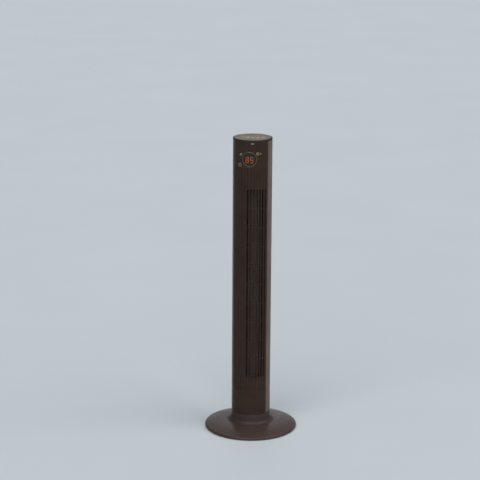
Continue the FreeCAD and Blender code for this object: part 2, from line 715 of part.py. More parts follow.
def make_scroll_casing():
    first, last = SCROLL_ENDS
    start_r, end_r = SCROLL_R
    growth = math.log(end_r / start_r) / (first - last)
    inside, outside = [], []
    for i in range(9):
        direction = first + (last - first) * i / 8
        radius = start_r * math.exp(growth * (first - direction))
        inside.append(from_wheel(radius, direction))
        outside.append(from_wheel(radius + DUCT_WALL, direction))
    inner = Part.BSplineCurve()
    inner.interpolate(inside)
    outer = Part.BSplineCurve()
    outer.interpolate(outside)
    edges = [inner.toShape(), Part.LineSegment(inside[-1], outside[-1]).toShape(), outer.toShape()]
    edges.append(Part.LineSegment(outside[0], inside[0]).toShape())
    wall = Part.Face(Part.Wire(edges)).extrude(Vector(0, 0, DUCT_Z[1] - DUCT_Z[0]))
    lip = wall_between(from_wheel(start_r + 0.6, first - 0.5), Vector(23.0, 54.5, 0))
    return fuse([wall, lip])


def wall_between(a, b):
    """An upright duct wall along the line from a to b."""
    along = Vector(b.x - a.x, b.y - a.y, 0)
    side = Vector(-along.y, along.x, 0).normalize() * (DUCT_WALL / 2)
    base = Vector(a.x, a.y, DUCT_Z[0])
    corners = [base + side, base + along + side, base + along - side, base - side]
    face = Part.Face(Part.makePolygon(corners + corners[:1]))
    return face.extrude(Vector(0, 0, DUCT_Z[1] - DUCT_Z[0]))


def make_vortex_tongue():
    tip, heel = TONGUE_ENDS
    shield = tube(TONGUE_R, TONGUE_R + DUCT_WALL, *DUCT_Z, WHEEL_X, WHEEL_Y)
    low = Vector(WHEEL_X, WHEEL_Y, DUCT_Z[0])
    wedge = Part.makeCylinder(80, DUCT_Z[1] - DUCT_Z[0], low, UP, tip - heel)
    wedge.rotate(Vector(WHEEL_X, WHEEL_Y, 0), UP, heel)
    shield = shield.common(wedge)
    x, y = at_turn(DUCT_END_R, OUTLET_TURN[0] - 2.8)
    front = wall_between(from_wheel(TONGUE_R + 1, tip - 1), Vector(x, y, 0))
    x, y = at_turn(DUCT_END_R, -75.0)
    side = wall_between(from_wheel(TONGUE_R + 1, heel + 1), Vector(x, y, 0))
    return fuse([shield, front, side])


def make_lower_duct_plate():
    low = DUCT_Z[0] - DUCT_PLATE_T
    plate = cylinder(DUCT_PLATE_R, low, DUCT_Z[0])
    plate = plate.cut(cylinder(7.0, 0, 300, WHEEL_X, WHEEL_Y))
    for dx, dy in motor_screw_places():
        plate = plate.cut(cylinder(MOTOR_SCREW_R + FIT, 0, 300, WHEEL_X + dx, WHEEL_Y + dy))
    return plate


def make_upper_duct_plate():
    plate = cylinder(DUCT_PLATE_R, DUCT_Z[1], DUCT_Z[1] + DUCT_PLATE_T)
    cup = cylinder(BEARING_RUBBER_R + 4.0, DUCT_Z[1], DUCT_Z[1] + 12.0, WHEEL_X, WHEEL_Y)
    seat = cylinder(BEARING_RUBBER_R + FIT, DUCT_Z[1] + 1.5, 900, WHEEL_X, WHEEL_Y)
    way = cylinder(9.5, 800, 900, WHEEL_X, WHEEL_Y)
    return plate.fuse(cup).cut(seat).cut(way).removeSplitter()


def make_bearing_rubber():
    low = DUCT_Z[1] + 1.5
    return tube(BUSH_R + FIT, BEARING_RUBBER_R, low, low + 10.0, WHEEL_X, WHEEL_Y)


def make_bearing_bush():
    low = DUCT_Z[1] + 2.5
    return tube(SHAFT_R + FIT, BUSH_R, low, low + 8.0, WHEEL_X, WHEEL_Y)


def blade(low, high):
    """One curved blade of the wheel, standing between two heights."""
    middle_r = (WHEEL_R + WHEEL_BORE_R) / 2
    spots = [(WHEEL_BORE_R + 0.6, -BLADE_LEAD), (middle_r, BLADE_BOW), (WHEEL_R - 0.4, BLADE_LEAD)]

    def side(offset):
        return [Vector(WHEEL_X + r, WHEEL_Y + lean + offset - BLADE_BOW, low) for r, lean in spots]

    left, right = side(BLADE_T / 2), side(-BLADE_T / 2)
    edges = [
        Part.Arc(*left).toShape(),
        Part.LineSegment(left[2], right[2]).toShape(),
        Part.Arc(*reversed(right)).toShape(),
        Part.LineSegment(right[0], left[0]).toShape(),
    ]
    return Part.Face(Part.Wire(edges)).extrude(Vector(0, 0, high - low))


def make_crossflow_wheel():
    """Ten moulded segments, each a ring with its blades, each turned a little against the last."""
    axis = Vector(WHEEL_X, WHEEL_Y, 0)
    ring = tube(WHEEL_BORE_R, WHEEL_R, WHEEL_Z, WHEEL_Z + RING_T, WHEEL_X, WHEEL_Y)
    one = blade(WHEEL_Z + RING_T, WHEEL_Z + WHEEL_PITCH)
    blades = [turned(one, 360.0 * i / BLADES, axis) for i in range(BLADES)]
    segment = ring.multiFuse(blades)
    segments = []
    for i in range(WHEEL_SEGMENTS):
        copy = turned(segment, SEGMENT_TWIST * i, axis)
        copy.translate(Vector(0, 0, WHEEL_PITCH * i))
        segments.append(copy)
    return Part.makeCompound(segments)


def wheel_top():
    return WHEEL_Z + WHEEL_PITCH * WHEEL_SEGMENTS


def make_wheel_lower_disc():
    disc = cylinder(WHEEL_R, WHEEL_Z - DISC_T, WHEEL_Z, WHEEL_X, WHEEL_Y)
    hub = cylinder(WHEEL_HUB_R, WHEEL_Z, WHEEL_Z + HUB_H, WHEEL_X, WHEEL_Y)
    body = disc.fuse(hub).cut(cylinder(SHAFT_R + FIT, 0, 300, WHEEL_X, WHEEL_Y))
    screw_way = Part.makeCylinder(HUB_SCREW_R + FIT, 20, hub_screw_start(0.0), RIGHT)
    return body.cut(screw_way).removeSplitter()


def hub_screw_start(radius):
    """A point on the hub screw's line, at a distance from the wheel's axis."""
    return Vector(WHEEL_X + radius, WHEEL_Y, WHEEL_Z + HUB_H / 2)


def make_hub_screw():
    return Part.makeCylinder(HUB_SCREW_R, 5.5, hub_screw_start(SHAFT_R + FIT), RIGHT)


def make_wheel_upper_disc():
    disc = cylinder(WHEEL_R, wheel_top(), wheel_top() + DISC_T, WHEEL_X, WHEEL_Y)
    axle = cylinder(SHAFT_R, wheel_top() + DISC_T, DUCT_Z[1] + 13.0, WHEEL_X, WHEEL_Y)
    return disc.fuse(axle).removeSplitter()


def make_motor_shaft():
    return cylinder(SHAFT_R, MOTOR_Z[0] - 4.0, WHEEL_Z + HUB_H, WHEEL_X, WHEEL_Y)


def make_motor_rotor():
    return tube(SHAFT_R + FIT, ROTOR_R, MOTOR_Z[1] + 1.0, MOTOR_Z[2] - 1.0, WHEEL_X, WHEEL_Y)


def motor_screw_places():
    """The motor's four screws, as offsets from its axis."""
    reach = (-MOTOR_SCREW_REACH, MOTOR_SCREW_REACH)
    return [(dx, dy) for dx in reach for dy in reach]


def make_motor_stator():
    low, high = MOTOR_Z[1], MOTOR_Z[2]
    stator = tube(ROTOR_R + GAP, MOTOR_R, low, high, WHEEL_X, WHEEL_Y)
    for slot in winding_bars(0.4, low - 1, high + 1):
        stator = stator.cut(slot)
    return stator


def winding_bars(clearance, low, high):
    """One bar for each of the motor's slots, wider by the clearance all round."""
    near, far, half = ROTOR_R + 2.4 - clearance, ROTOR_R + 11.6 + clearance, 2.1 + clearance
    bar = block((WHEEL_X + near, WHEEL_Y - half, low), (WHEEL_X + far, WHEEL_Y + half, high))
    axis = Vector(WHEEL_X, WHEEL_Y, 0)
    pitch = 360.0 / MOTOR_SLOTS
    return [turned(bar, pitch * (i + 0.5), axis) for i in range(MOTOR_SLOTS)]


def make_motor_windings():
    return Part.makeCompound(winding_bars(0.0, MOTOR_Z[1] + 0.5, MOTOR_Z[2] - 0.5))


def bell(closed_z, open_z, bore):
    """A motor end bell: a cup from its closed end to its open end."""
    low, high = sorted((closed_z, open_z))
    cup = cylinder(MOTOR_R - 1.5, low, high, WHEEL_X, WHEEL_Y)
    step = 2.0 if open_z > closed_z else -2.0
    hollow_low, hollow_high = sorted((closed_z + step, open_z + step))
    cup = cup.cut(cylinder(MOTOR_R - 4.0, hollow_low, hollow_high, WHEEL_X, WHEEL_Y))
    return cup.cut(cylinder(bore, 0, 300, WHEEL_X, WHEEL_Y))


def make_motor_lower_bell():
    return bell(MOTOR_Z[0], MOTOR_Z[1], SHAFT_R + FIT)


def make_motor_upper_bell():
    upper = bell(MOTOR_Z[3], MOTOR_Z[2], SHAFT_R + FIT)
    for dx, dy in motor_screw_places():
        upper = upper.cut(cylinder(MOTOR_SCREW_R + FIT, 160, 300, WHEEL_X + dx, WHEEL_Y + dy))
    return upper


def make_motor_grommets():
    grommets = [
        tube(MOTOR_SCREW_R + FIT, 5.5, MOTOR_Z[3], DUCT_Z[0] - DUCT_PLATE_T, WHEEL_X + dx, WHEEL_Y + dy)
        for dx, dy in motor_screw_places()
    ]
    return Part.makeCompound(grommets)


def make_motor_screws():
    head_z = DUCT_Z[0]
    screws = [
        screw(WHEEL_X + dx, WHEEL_Y + dy, head_z, MOTOR_Z[3] - 4.0, MOTOR_SCREW_R, 3.6, 2.2)
        for dx, dy in motor_screw_places()
    ]
    return Part.makeCompound(screws)


def make_capacitor():
    top = DUCT_Z[0] - DUCT_PLATE_T
    can = block((36.5, -10.0, top - 38.0), (51.0, 14.0, top))
    return round_edges(can, 2.0, lambda e: e.BoundBox.ZLength > 30)


# ---- control head -------------------------------------------------------------------------------
def button_places():
    """The five buttons on a shallow arc across the cap, left to right."""
    places = []
    for i in range(-2, 3):
        places.append((BUTTON_PITCH * i, -BUTTON_SAG + BUTTON_SAG * (i / 2) ** 2))
    return places


def cap_post_places(turns):
    """The (x, y) of the cap's posts at some of their turns."""
    return [at_turn(CAP_POST_CIRCLE, turn) for turn in turns]


def make_top_cap():
    plate = cylinder(COLUMN_R, CAP_Z, TOTAL_HEIGHT)
    plate = round_edges(plate, CAP_EDGE_R, ring_edge_at(TOTAL_HEIGHT, COLUMN_R))
    dish = Part.makeCone(DISH_R - 4.0, DISH_R, DISH_DEPTH, Vector(0, 0, TOTAL_HEIGHT - DISH_DEPTH))
    groove = tube(*CAP_GROOVE_R, TOTAL_HEIGHT - CAP_GROOVE_DEPTH, TOTAL_HEIGHT + 1)
    skirt = tube(*CAP_SKIRT_R, CAP_Z - 9.0, CAP_Z)
    posts = [cylinder(CAP_POST_R, CONTROL_BOARD_Z, CAP_Z, x, y) for x, y in cap_post_places(CAP_POST_TURNS)]
    cap = fuse([plate.cut(dish).cut(groove), skirt] + posts)
    for x, y in button_places():
        cap = cap.cut(cylinder(BUTTON_R + GAP, 900, 1100, x, y))
    for x, y in cap_post_places(CAP_POST_TURNS):
        cap = cap.cut(cylinder(BOARD_SCREW_R + FIT, 900, CAP_Z - 2.0, x, y))
    return cap


def make_button(x, y):
    floor = TOTAL_HEIGHT - DISH_DEPTH
    head = cylinder(BUTTON_R, CAP_Z - 1.0, floor + 1.0, x, y)
    head = round_edges(head, 0.8, lambda e: abs(e.BoundBox.ZMin - (floor + 1.0)) < 0.01)
    flange = cylinder(FLANGE_R, CAP_Z - 2.0, CAP_Z - GAP, x, y)
    stem = cylinder(BUTTON_STEM_R, CAP_Z - 6.3, CAP_Z - 2.0, x, y)
    return fuse([head, flange, stem])


def make_control_board():
    top = CONTROL_BOARD_Z
    board = cylinder(DISH_R, top - BOARD_T, top)
    board = board.cut(block((-60, -60, top - 5), (60, -32, top + 5)))
    for x, y in cap_post_places(CAP_POST_TURNS):
        board = board.cut(cylinder(BOARD_SCREW_R + FIT, top - 5, top + 5, x, y))
    return board


def make_board_screws():
    """Two screws up through the control board into the cap's rear posts."""
    top = CONTROL_BOARD_Z
    screws = [
        screw(x, y, top - BOARD_T, top + 7.0, BOARD_SCREW_R, 2.8, 1.6)
        for x, y in cap_post_places(CAP_POST_TURNS[1:3])
    ]
    return Part.makeCompound(screws)


def make_tact_switches():
    low, high = CONTROL_BOARD_Z, CAP_Z - 7.6
    switches = [block((x - 3, y - 3, low), (x + 3, y + 3, high)) for x, y in button_places()]
    return Part.makeCompound(switches)


def make_display_lens():
    return disc_on_column(DISPLAY_R - 2.6, 0, DISPLAY_Z, COLUMN_R - 2.6, COLUMN_R - 0.5)


def make_display_ring():
    rim = disc_on_column(DISPLAY_R, 0, DISPLAY_Z, COLUMN_R + FIT, COLUMN_R + 0.6, DISPLAY_R - 2.5)
    sleeve = disc_on_column(DISPLAY_R - 1.3, 0, DISPLAY_Z, COLUMN_R - 3.0, COLUMN_R + 0.6, DISPLAY_R - 2.5)
    return fuse([rim, sleeve])


def segment_outline(length, width):
    """A seven-segment bar: a long hexagon centred on the origin, lying across."""
    half, point = length / 2, width / 2
    return [(-half, 0), (-half + point, point), (half - point, point),
            (half, 0), (half - point, -point), (-half + point, -point)]


def digit(lit, centre):
    """The lit bars of one digit, as outlines in (across, up)."""
    half_w, quarter = DIGIT_W / 2 - DIGIT_BAR / 2, DIGIT_H / 4 - DIGIT_BAR / 8
    across = segment_outline(DIGIT_W - DIGIT_BAR, DIGIT_BAR)
    upright = [(v, u) for u, v in segment_outline(2 * quarter, DIGIT_BAR)]
    spots = {
        "top": (across, 0, 2 * quarter), "middle": (across, 0, 0), "bottom": (across, 0, -2 * quarter),
        "upper_left": (upright, -half_w, quarter), "upper_right": (upright, half_w, quarter),
        "lower_left": (upright, -half_w, -quarter), "lower_right": (upright, half_w, -quarter),
    }
    shrink = 0.93
    outlines = []
    for name in lit:
        shape, dx, dy = spots[name]
        outlines.append([(centre + dx + u * shrink, dy + v * shrink) for u, v in shape])
    return outlines


def make_display_digits():
    eight = ["top", "middle", "bottom", "upper_left", "upper_right", "lower_left", "lower_right"]
    five = ["top", "middle", "bottom", "upper_left", "lower_right"]
    offset = (DIGIT_W + DIGIT_GAP) / 2
    bars = []
    for outline in digit(eight, -offset) + digit(five, offset):
        bars.append(on_column(outline, 0, DISPLAY_Z - DIGIT_DROP, COLUMN_R - 0.45, COLUMN_R - 0.2))
    return Part.makeCompound(bars)


def make_indicator_icons():
    """Lamps round the display: a leaf, a crescent with a star dot, and a clock ring."""
    inner, outer = COLUMN_R + FILM[0], COLUMN_R + FILM[1]
    icons = [on_column(LEAF, *LEAF_PLACE, inner, outer)]
    icons.append(crescent_on_column(*MOON_PLACE, inner, outer))
    icons.append(disc_on_column(STAR_R, *STAR_PLACE, inner, outer))
    icons.append(disc_on_column(CLOCK_R[1], *CLOCK_PLACE, inner, outer, CLOCK_R[0]))
    return Part.makeCompound(icons)


def crescent_on_column(turn, z, inner, outer):
    """A disc hollowed by a second disc beside it, laid on the column's round face."""
    shift, hollow_r = MOON_HOLLOW
    disc = forward_cylinder(MOON_R, 0, 2 * COLUMN_R, 0, z)
    prism = disc.cut(forward_cylinder(hollow_r, 0, 2 * COLUMN_R, shift, z))
    plate = prism.common(sector(inner, outer, z - 60, z + 60, -50, 50))
    return turned(plate, turn)


def make_badge():
    """A plain trapezoid badge under the cap."""
    head, foot = BADGE_HALF_W
    rise = BADGE_HALF_H
    outline = [(-head, rise), (-foot, -rise), (foot, -rise), (head, rise)]
    return on_column(outline, *BADGE_PLACE, COLUMN_R + FILM[0], COLUMN_R + 0.4)


def make_display_board():
    front = -DISPLAY_BOARD_Y
    board = block((-30, front, 912.0), (30, front + 1.6, 964.0))
    module = block((-21, front - 10.0, 923.0), (21, front, 952.0))
    return fuse([board, module])


def make_ir_receiver():
    body = block((12.0, -DISPLAY_BOARD_Y - 4.0, 954.0), (17.0, -DISPLAY_BOARD_Y, 961.0))
    eye = forward_cylinder(2.0, DISPLAY_BOARD_Y + 3.5, DISPLAY_BOARD_Y + 5.4, 14.5, 957.5)
    return fuse([body, eye])


def make_power_board():
    back = POWER_BOARD_Y
    board = block((-34, back - 1.6, 924.0), (34, back, 972.0))
    transformer = block((-26, back, 930.0), (-4, back + 17.4, 958.0))
    relay = block((6, back, 932.0), (24, back + 12.4, 946.0))
    reservoir = Part.makeCylinder(6.5, 17.0, Vector(16, back, 958.0), BACK)
    return fuse([board, transformer, relay, reservoir])


def make_grille_screws():
    """Four screws through the inlet grille's corners into the shell's tabs, their heads sunk."""
    screws = []
    for turn, z in grille_screw_places():
        head = forward_cylinder(GRILLE_HEAD_R, GRILLE_SEAT_R, GRILLE_SEAT_R + 1.2, 0, z)
        slot = block((-1.8, -70.0, z - 0.35), (1.8, -64.0, z + 0.35))
        shank = forward_cylinder(GRILLE_SCREW_R, 59.8, GRILLE_SEAT_R, 0, z)
        screws.append(turned(fuse([head.cut(slot), shank]), turn))
    return Part.makeCompound(screws)


PARTS = {
    "rubber_feet": make_rubber_feet,
    "base_shell": make_base_shell,
    "base_cover": make_base_cover,
    "ballast_plate": make_ballast_plate,
    "cover_screws": make_cover_screws,
    "neck_collar": make_neck,
    "neck_screws": make_neck_screws,
    "cord_grommet": make_cord_grommet,
    "pivot_post": make_pivot_post,
    "base_nut": make_base_nut,
    "swivel_gear": make_swivel_gear,
    "slide_ring": make_slide_ring,
    "retaining_ring": make_retaining_ring,
    "drive_pinion": make_drive_pinion,
    "pinion_shaft": make_pinion_shaft,
    "turntable": make_turntable,
    "turntable_screws": make_turntable_screws,
    "swing_motor": make_swing_motor,
    "rear_shell": make_rear_shell,
    "front_panel": make_front_panel,
    "outlet_grille": make_outlet_grille,
    "rear_grille": make_rear_grille,
    "grille_screws": make_grille_screws,
    "handle_cup": make_handle_cup,
    "scroll_casing": make_scroll_casing,
    "vortex_tongue": make_vortex_tongue,
    "lower_duct_plate": make_lower_duct_plate,
    "upper_duct_plate": make_upper_duct_plate,
    "bearing_rubber": make_bearing_rubber,
    "bearing_bush": make_bearing_bush,
    "crossflow_wheel": make_crossflow_wheel,
    "wheel_lower_disc": make_wheel_lower_disc,
    "wheel_upper_disc": make_wheel_upper_disc,
    "hub_screw": make_hub_screw,
    "motor_shaft": make_motor_shaft,
    "motor_rotor": make_motor_rotor,
    "motor_stator": make_motor_stator,
    "motor_windings": make_motor_windings,
    "motor_lower_bell": make_motor_lower_bell,
    "motor_upper_bell": make_motor_upper_bell,
    "motor_grommets": make_motor_grommets,
    "motor_screws": make_motor_screws,
    "capacitor": make_capacitor,
    "top_cap": make_top_cap,
    "control_board": make_control_board,
    "board_screws": make_board_screws,
    "tact_switches": make_tact_switches,
    "display_lens": make_display_lens,
    "display_ring": make_display_ring,
    "display_digits": make_display_digits,
    "indicator_icons": make_indicator_icons,
    "badge": make_badge,
    "display_board": make_display_board,
    "ir_receiver": make_ir_receiver,
    "power_board": make_power_board,
}
BUTTON_NAMES = ["timer_button", "speed_button", "power_button", "swing_button", "mode_button"]


def main():
    os.makedirs("parts", exist_ok=True)
    shapes = {name: make() for name, make in PARTS.items()}
    for name, (x, y) in zip(BUTTON_NAMES, button_places()):
        shapes[name] = make_button(x, y)
    for name, shape in shapes.items():
        if not shape.isValid():
            print("invalid shape:", name)
        shape.exportStep(f"parts/{name}.step")
        print(name, len(shape.Solids), round(shape.Volume))


main()
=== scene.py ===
import math

import bmesh
import bpy
from mathutils import Matrix, Vector


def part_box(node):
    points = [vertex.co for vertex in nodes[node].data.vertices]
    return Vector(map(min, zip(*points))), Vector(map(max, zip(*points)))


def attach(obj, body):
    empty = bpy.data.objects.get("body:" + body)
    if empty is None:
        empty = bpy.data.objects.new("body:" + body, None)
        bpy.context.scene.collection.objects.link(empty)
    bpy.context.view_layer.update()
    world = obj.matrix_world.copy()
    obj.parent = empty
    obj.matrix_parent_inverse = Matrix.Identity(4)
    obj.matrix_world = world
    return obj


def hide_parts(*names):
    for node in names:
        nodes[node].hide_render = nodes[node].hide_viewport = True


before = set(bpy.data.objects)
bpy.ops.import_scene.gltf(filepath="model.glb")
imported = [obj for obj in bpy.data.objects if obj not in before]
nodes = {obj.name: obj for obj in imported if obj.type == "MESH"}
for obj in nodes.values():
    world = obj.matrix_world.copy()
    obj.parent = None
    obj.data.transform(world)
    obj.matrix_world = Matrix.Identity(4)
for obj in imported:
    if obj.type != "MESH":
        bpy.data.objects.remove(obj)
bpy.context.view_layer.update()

# Lengths are in metres, in the frame: +Z up, the front faces -Y.
# A "turn" is an angle in degrees round the column from the front, positive towards +X.
MM = 0.001


# ---- sizes read from the frame --------------------------------------------------------------------
def low_z(node):
    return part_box(node)[0].z


def high_z(node):
    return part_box(node)[1].z


def half_width(node):
    low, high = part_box(node)
    return min(high.x - low.x, high.y - low.y) / 2


COLUMN_R = round(half_width("top_cap"), 3)
FOOT_R = half_width("base_shell")
NECK_TOP = high_z("neck_collar")
FOOT_TOP = high_z("base_shell")
FOOT_LOW = low_z("base_shell")
COLUMN_LOW = low_z("front_panel")
CAP_LOW = high_z("front_panel")
CAP_TOP = high_z("top_cap")

# foot and neck
FOOT_SKIN = 3 * MM
FOOT_EDGE = 5 * MM  # the radius of its rounded edge
FOOT_RIM = 4 * MM
FOOT_FLAT_R = 80 * MM
DOME_RISE = 2.2 * MM  # how far the foot bulges above a straight cone
POST_WAY_R = 14.1 * MM
NECK_WALL = 3 * MM
NECK_LIP = 0.4 * MM
CORD_WAY_R = 6 * MM
PAD_R = 10 * MM
PAD_COUNT = 6

# column, in turns and heights
WALL = 2.5 * MM
PANEL_INNER_R = COLUMN_R - 3.2 * MM
PANEL_EDGE = 59.65
SHELL_EDGE = 60.35
REED_PITCH = 9.2
REED_COUNT = 13
REED_HALF = math.degrees(2.6 * MM / COLUMN_R)
REED_DEPTH = 1.5 * MM
REED_RAMP = 1.6 * MM  # how high the grooves' sloping ends are
FLANK = math.degrees(1.1 * MM / COLUMN_R)
REED_LOW, REED_HIGH = 141 * MM, 908 * MM
OUTLET_LEFT, OUTLET_RIGHT = -REED_PITCH + REED_HALF, 6 * REED_PITCH - REED_HALF
OUTLET_LOW, OUTLET_HIGH = 191 * MM, 836.5 * MM
OUTLET_CELLS = 10
GRILLE_INNER_R = 59.6 * MM
GRILLE_RIM = 5 * MM
GRILLE_BAR = 2.2 * MM
FIN_NOSE, FIN_TAIL = 2.4 * MM, 1.9 * MM  # half a fin's width in front and at the back
FIN_INNER_R = 59 * MM
INLET_HALF = 50.0
INLET_LOW, INLET_HIGH = 200 * MM, 828 * MM
INLET_COLUMNS, INLET_ROWS = 20, 9
INLET_BORDER = (6.2, 8.4 * MM)  # the plain border, in degrees across and metres up
INLET_BAR = (1.9, 5 * MM)
INLET_SCREW_R = 3 * MM
INLET_SCREW_SEAT_R = 63.4 * MM

# control head
CAP_EDGE_R = 2.6 * MM
CAP_GROOVE_R = (60.7 * MM, 61.3 * MM)
CAP_GROOVE = 0.5 * MM
DISH_R = 54 * MM
DISH_DEPTH = 1.2 * MM
BUTTON_R = 6 * MM
BUTTON_STEM_R = 1.8 * MM
RING_WIDTH = 2.5 * MM
RING_RISE = 0.6 * MM
DIGIT_W = 11 * MM
DIGIT_BAR = 2.4 * MM
DIGIT_GAP = 4.2 * MM
DIGIT_LEAN = 0.08
BAR_SHRINK = 0.93  # how much of its cell a digit's bar fills
LAMP_FILM = (0.02 * MM, 0.2 * MM)  # how far a printed lamp stands off the panel
LEAF_TURN, MOON_TURN, STAR_TURN, CLOCK_TURN = -26.2, 24.2, 32.4, -29.7
BADGE_HEAD, BADGE_FOOT = 6.6 * MM, 2 * MM  # half its width above and below


# ---- mesh helpers ---------------------------------------------------------------------------------
def on_column(turn, radius, z):
    """The point at a turn, a radius and a height."""
    angle = math.radians(turn)
    return Vector((radius * math.sin(angle), -radius * math.cos(angle), z))


def steps_between(first, last, count):
    return [first + (last - first) * i / count for i in range(count + 1)]


def make_piece(name, mesh, materials):
    """A smooth-shaded object from a bmesh, with its faces turned outwards."""
    bmesh.ops.recalc_face_normals(mesh, faces=mesh.faces)
    data = bpy.data.meshes.new(name)
    mesh.to_mesh(data)
    mesh.free()
    data.polygons.foreach_set("use_smooth", [True] * len(data.polygons))
    piece = bpy.data.objects.new(name, data)
    bpy.context.scene.collection.objects.link(piece)
    for material in materials:
        data.materials.append(material)
    return piece


def round_edges(piece, width, segments=3, angle=40):
    """Rounds a piece's sharp edges. The rounded faces take its second material, if it has one, which paints
    a highlight on them.
    """
    bevel = piece.modifiers.new("round", "BEVEL")
    bevel.width = width
    bevel.segments = segments
    bevel.limit_method = "ANGLE"
    bevel.angle_limit = math.radians(angle)
    bevel.use_clamp_overlap = True
    bevel.miter_outer = "MITER_ARC"
    bevel.material = 1 if len(piece.data.materials) > 1 else -1
    shade = piece.modifiers.new("shade", "WEIGHTED_NORMAL")
    shade.weight = 60
    shade.keep_sharp = True
    return piece


def cut(piece, cutter):
    """Takes the cutter's volume out of the piece for good."""
    mod = piece.modifiers.new("cut", "BOOLEAN")
    mod.operation = "DIFFERENCE"
    mod.solver = "EXACT"
    mod.object = cutter
    bpy.context.view_layer.update()
    evaluated = piece.evaluated_get(bpy.context.evaluated_depsgraph_get())
    piece.data = bpy.data.meshes.new_from_object(evaluated)
    piece.modifiers.clear()
    bpy.data.objects.remove(cutter)
    return piece


def place(piece, body, slot, *replaced):
    """Hands a finished piece to the frame."""
    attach(piece, body)
    if replaced:
        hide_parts(*replaced)
    return piece


def rounded(points, steps=5):
    """A closed outline in which a point with a third number is rounded to that radius."""
    outline = []
    for k, point in enumerate(points):
        here = Vector(point[:2])
        if len(point) < 3:
            outline.append(here)
            continue
        before = (Vector(points[k - 1][:2]) - here).normalized()
        after = (Vector(points[(k + 1) % len(points)][:2]) - here).normalized()
        half = before.angle(after) / 2
        centre = here + (before + after).normalized() * (point[2] / math.sin(half))
        start = here + before * (point[2] / math.tan(half)) - centre
        end = here + after * (point[2] / math.tan(half)) - centre
        sweep = math.atan2(start.cross(end), start.dot(end))
        for i in range(steps + 1):
            outline.append(centre + Matrix.Rotation(sweep * i / steps, 2) @ start)
    return outline


def add_lathe(mesh, profile, steps, matrix=None):
    """Adds a closed profile of (radius, height) points turned about Z, then moved by a matrix."""
    matrix = matrix or Matrix.Identity(4)
    rings = []
    for radius, height in profile:
        if radius < 1e-6:
            rings.append([mesh.verts.new(matrix @ Vector((0, 0, height)))] * steps)
            continue
        angles = [2 * math.pi * i / steps for i in range(steps)]
        points = [Vector((radius * math.cos(a), radius * math.sin(a), height)) for a in angles]
        rings.append([mesh.verts.new(matrix @ point) for point in points])
    for ring, following in zip(rings, rings[1:] + rings[:1]):
        for i in range(steps):
            j = (i + 1) % steps
            loop = []
            for vert in (ring[i], ring[j], following[j], following[i]):
                if vert not in loop:
                    loop.append(vert)
            if len(loop) > 2:
                mesh.faces.new(loop)


def rod(name, radius, low, high, matrix, steps):
    """A plain cylinder on the matrix's Z axis, to cut with."""
    return lathe(name, [(0, low), (radius, low), (radius, high), (0, high)], [], steps, matrix)


def lathe(name, profile, materials, steps, matrix=None):
    mesh = bmesh.new()
    add_lathe(mesh, profile, steps, matrix)
    return make_piece(name, mesh, materials)


def add_sheet(mesh, turns, heights, outer, inner, is_open=None):
    """Adds a closed stretch of tube wall on a grid of turns and heights, with its open cells left out.

    outer and inner give the wall's two radii at a turn and a height.
    """
    verts = {}

    def vert(side, i, j):
        key = (side, i, j)
        if key not in verts:
            radius = (outer if side else inner)(turns[i], heights[j])
            verts[key] = mesh.verts.new(on_column(turns[i], radius, heights[j]))
        return verts[key]

    def filled(i, j):
        if not (0 <= i < len(turns) - 1 and 0 <= j < len(heights) - 1):
            return False
        return not (is_open and is_open((turns[i] + turns[i + 1]) / 2, (heights[j] + heights[j + 1]) / 2))

    for i in range(len(turns) - 1):
        for j in range(len(heights) - 1):
            if not filled(i, j):
                continue
            ring = [(i, j), (i + 1, j), (i + 1, j + 1), (i, j + 1)]
            mesh.faces.new([vert(1, *corner) for corner in ring])
            mesh.faces.new([vert(0, *corner) for corner in reversed(ring)])
            beyond = [(i, j - 1), (i + 1, j), (i, j + 1), (i - 1, j)]
            for side, neighbour in enumerate(beyond):
                if not filled(*neighbour):
                    a, b = ring[side], ring[(side + 1) % 4]
                    mesh.faces.new([vert(1, *b), vert(1, *a), vert(0, *a), vert(0, *b)])


def add_plate(mesh, outline, low, high, to_frame):
    """Adds a flat shape in (u, v), from low to high, put in place by to_frame(u, v, w)."""
    bottom = [mesh.verts.new(to_frame(u, v, low)) for u, v in outline]
    top = [mesh.verts.new(to_frame(u, v, high)) for u, v in outline]
    caps = [mesh.faces.new(top), mesh.faces.new(list(reversed(bottom)))]
    for i in range(len(outline)):
        j = (i + 1) % len(outline)
        mesh.faces.new([bottom[i], bottom[j], top[j], top[i]])
    bmesh.ops.triangulate(mesh, faces=caps)


def wrap(turn, z):
    """Places flat work on the column: u runs across it, v up it, and w stands out of its face."""
    def to_frame(u, v, w):
        return on_column(turn + math.degrees(u / COLUMN_R), COLUMN_R + w, z + v)
    return to_frame


def circle(radius, count=24):
    angles = [2 * math.pi * i / count for i in range(count)]
    return [(radius * math.cos(a), radius * math.sin(a)) for a in angles]


def arc_band(radius, width, start, end, count=16):
    """The outline of a bent band, from one angle to another, in degrees."""
    angles = [math.radians(a) for a in steps_between(start, end, count)]
    outside = [((radius + width / 2) * math.cos(a), (radius + width / 2) * math.sin(a)) for a in angles]
    inside = [((radius - width / 2) * math.cos(a), (radius - width / 2) * math.sin(a)) for a in angles]
    return outside + inside[::-1]


def crescent(radius, offset):
    """The outline of a crescent: most of a circle, hollowed by a second circle set off to the right."""
    back = [math.radians(a) for a in steps_between(60, 300, 24)]
    tip = Vector((math.cos(back[0]), math.sin(back[0]))) * radius
    hollow_r = (tip - Vector((offset, 0))).length
    tip_angle = math.degrees(math.atan2(tip.y, tip.x - offset))
    hollow = [math.radians(a) for a in steps_between(360 - tip_angle, tip_angle, 24)[1:-1]]
    outline = [(radius * math.cos(a), radius * math.sin(a)) for a in back]
    return outline + [(offset + hollow_r * math.cos(a), hollow_r * math.sin(a)) for a in hollow]


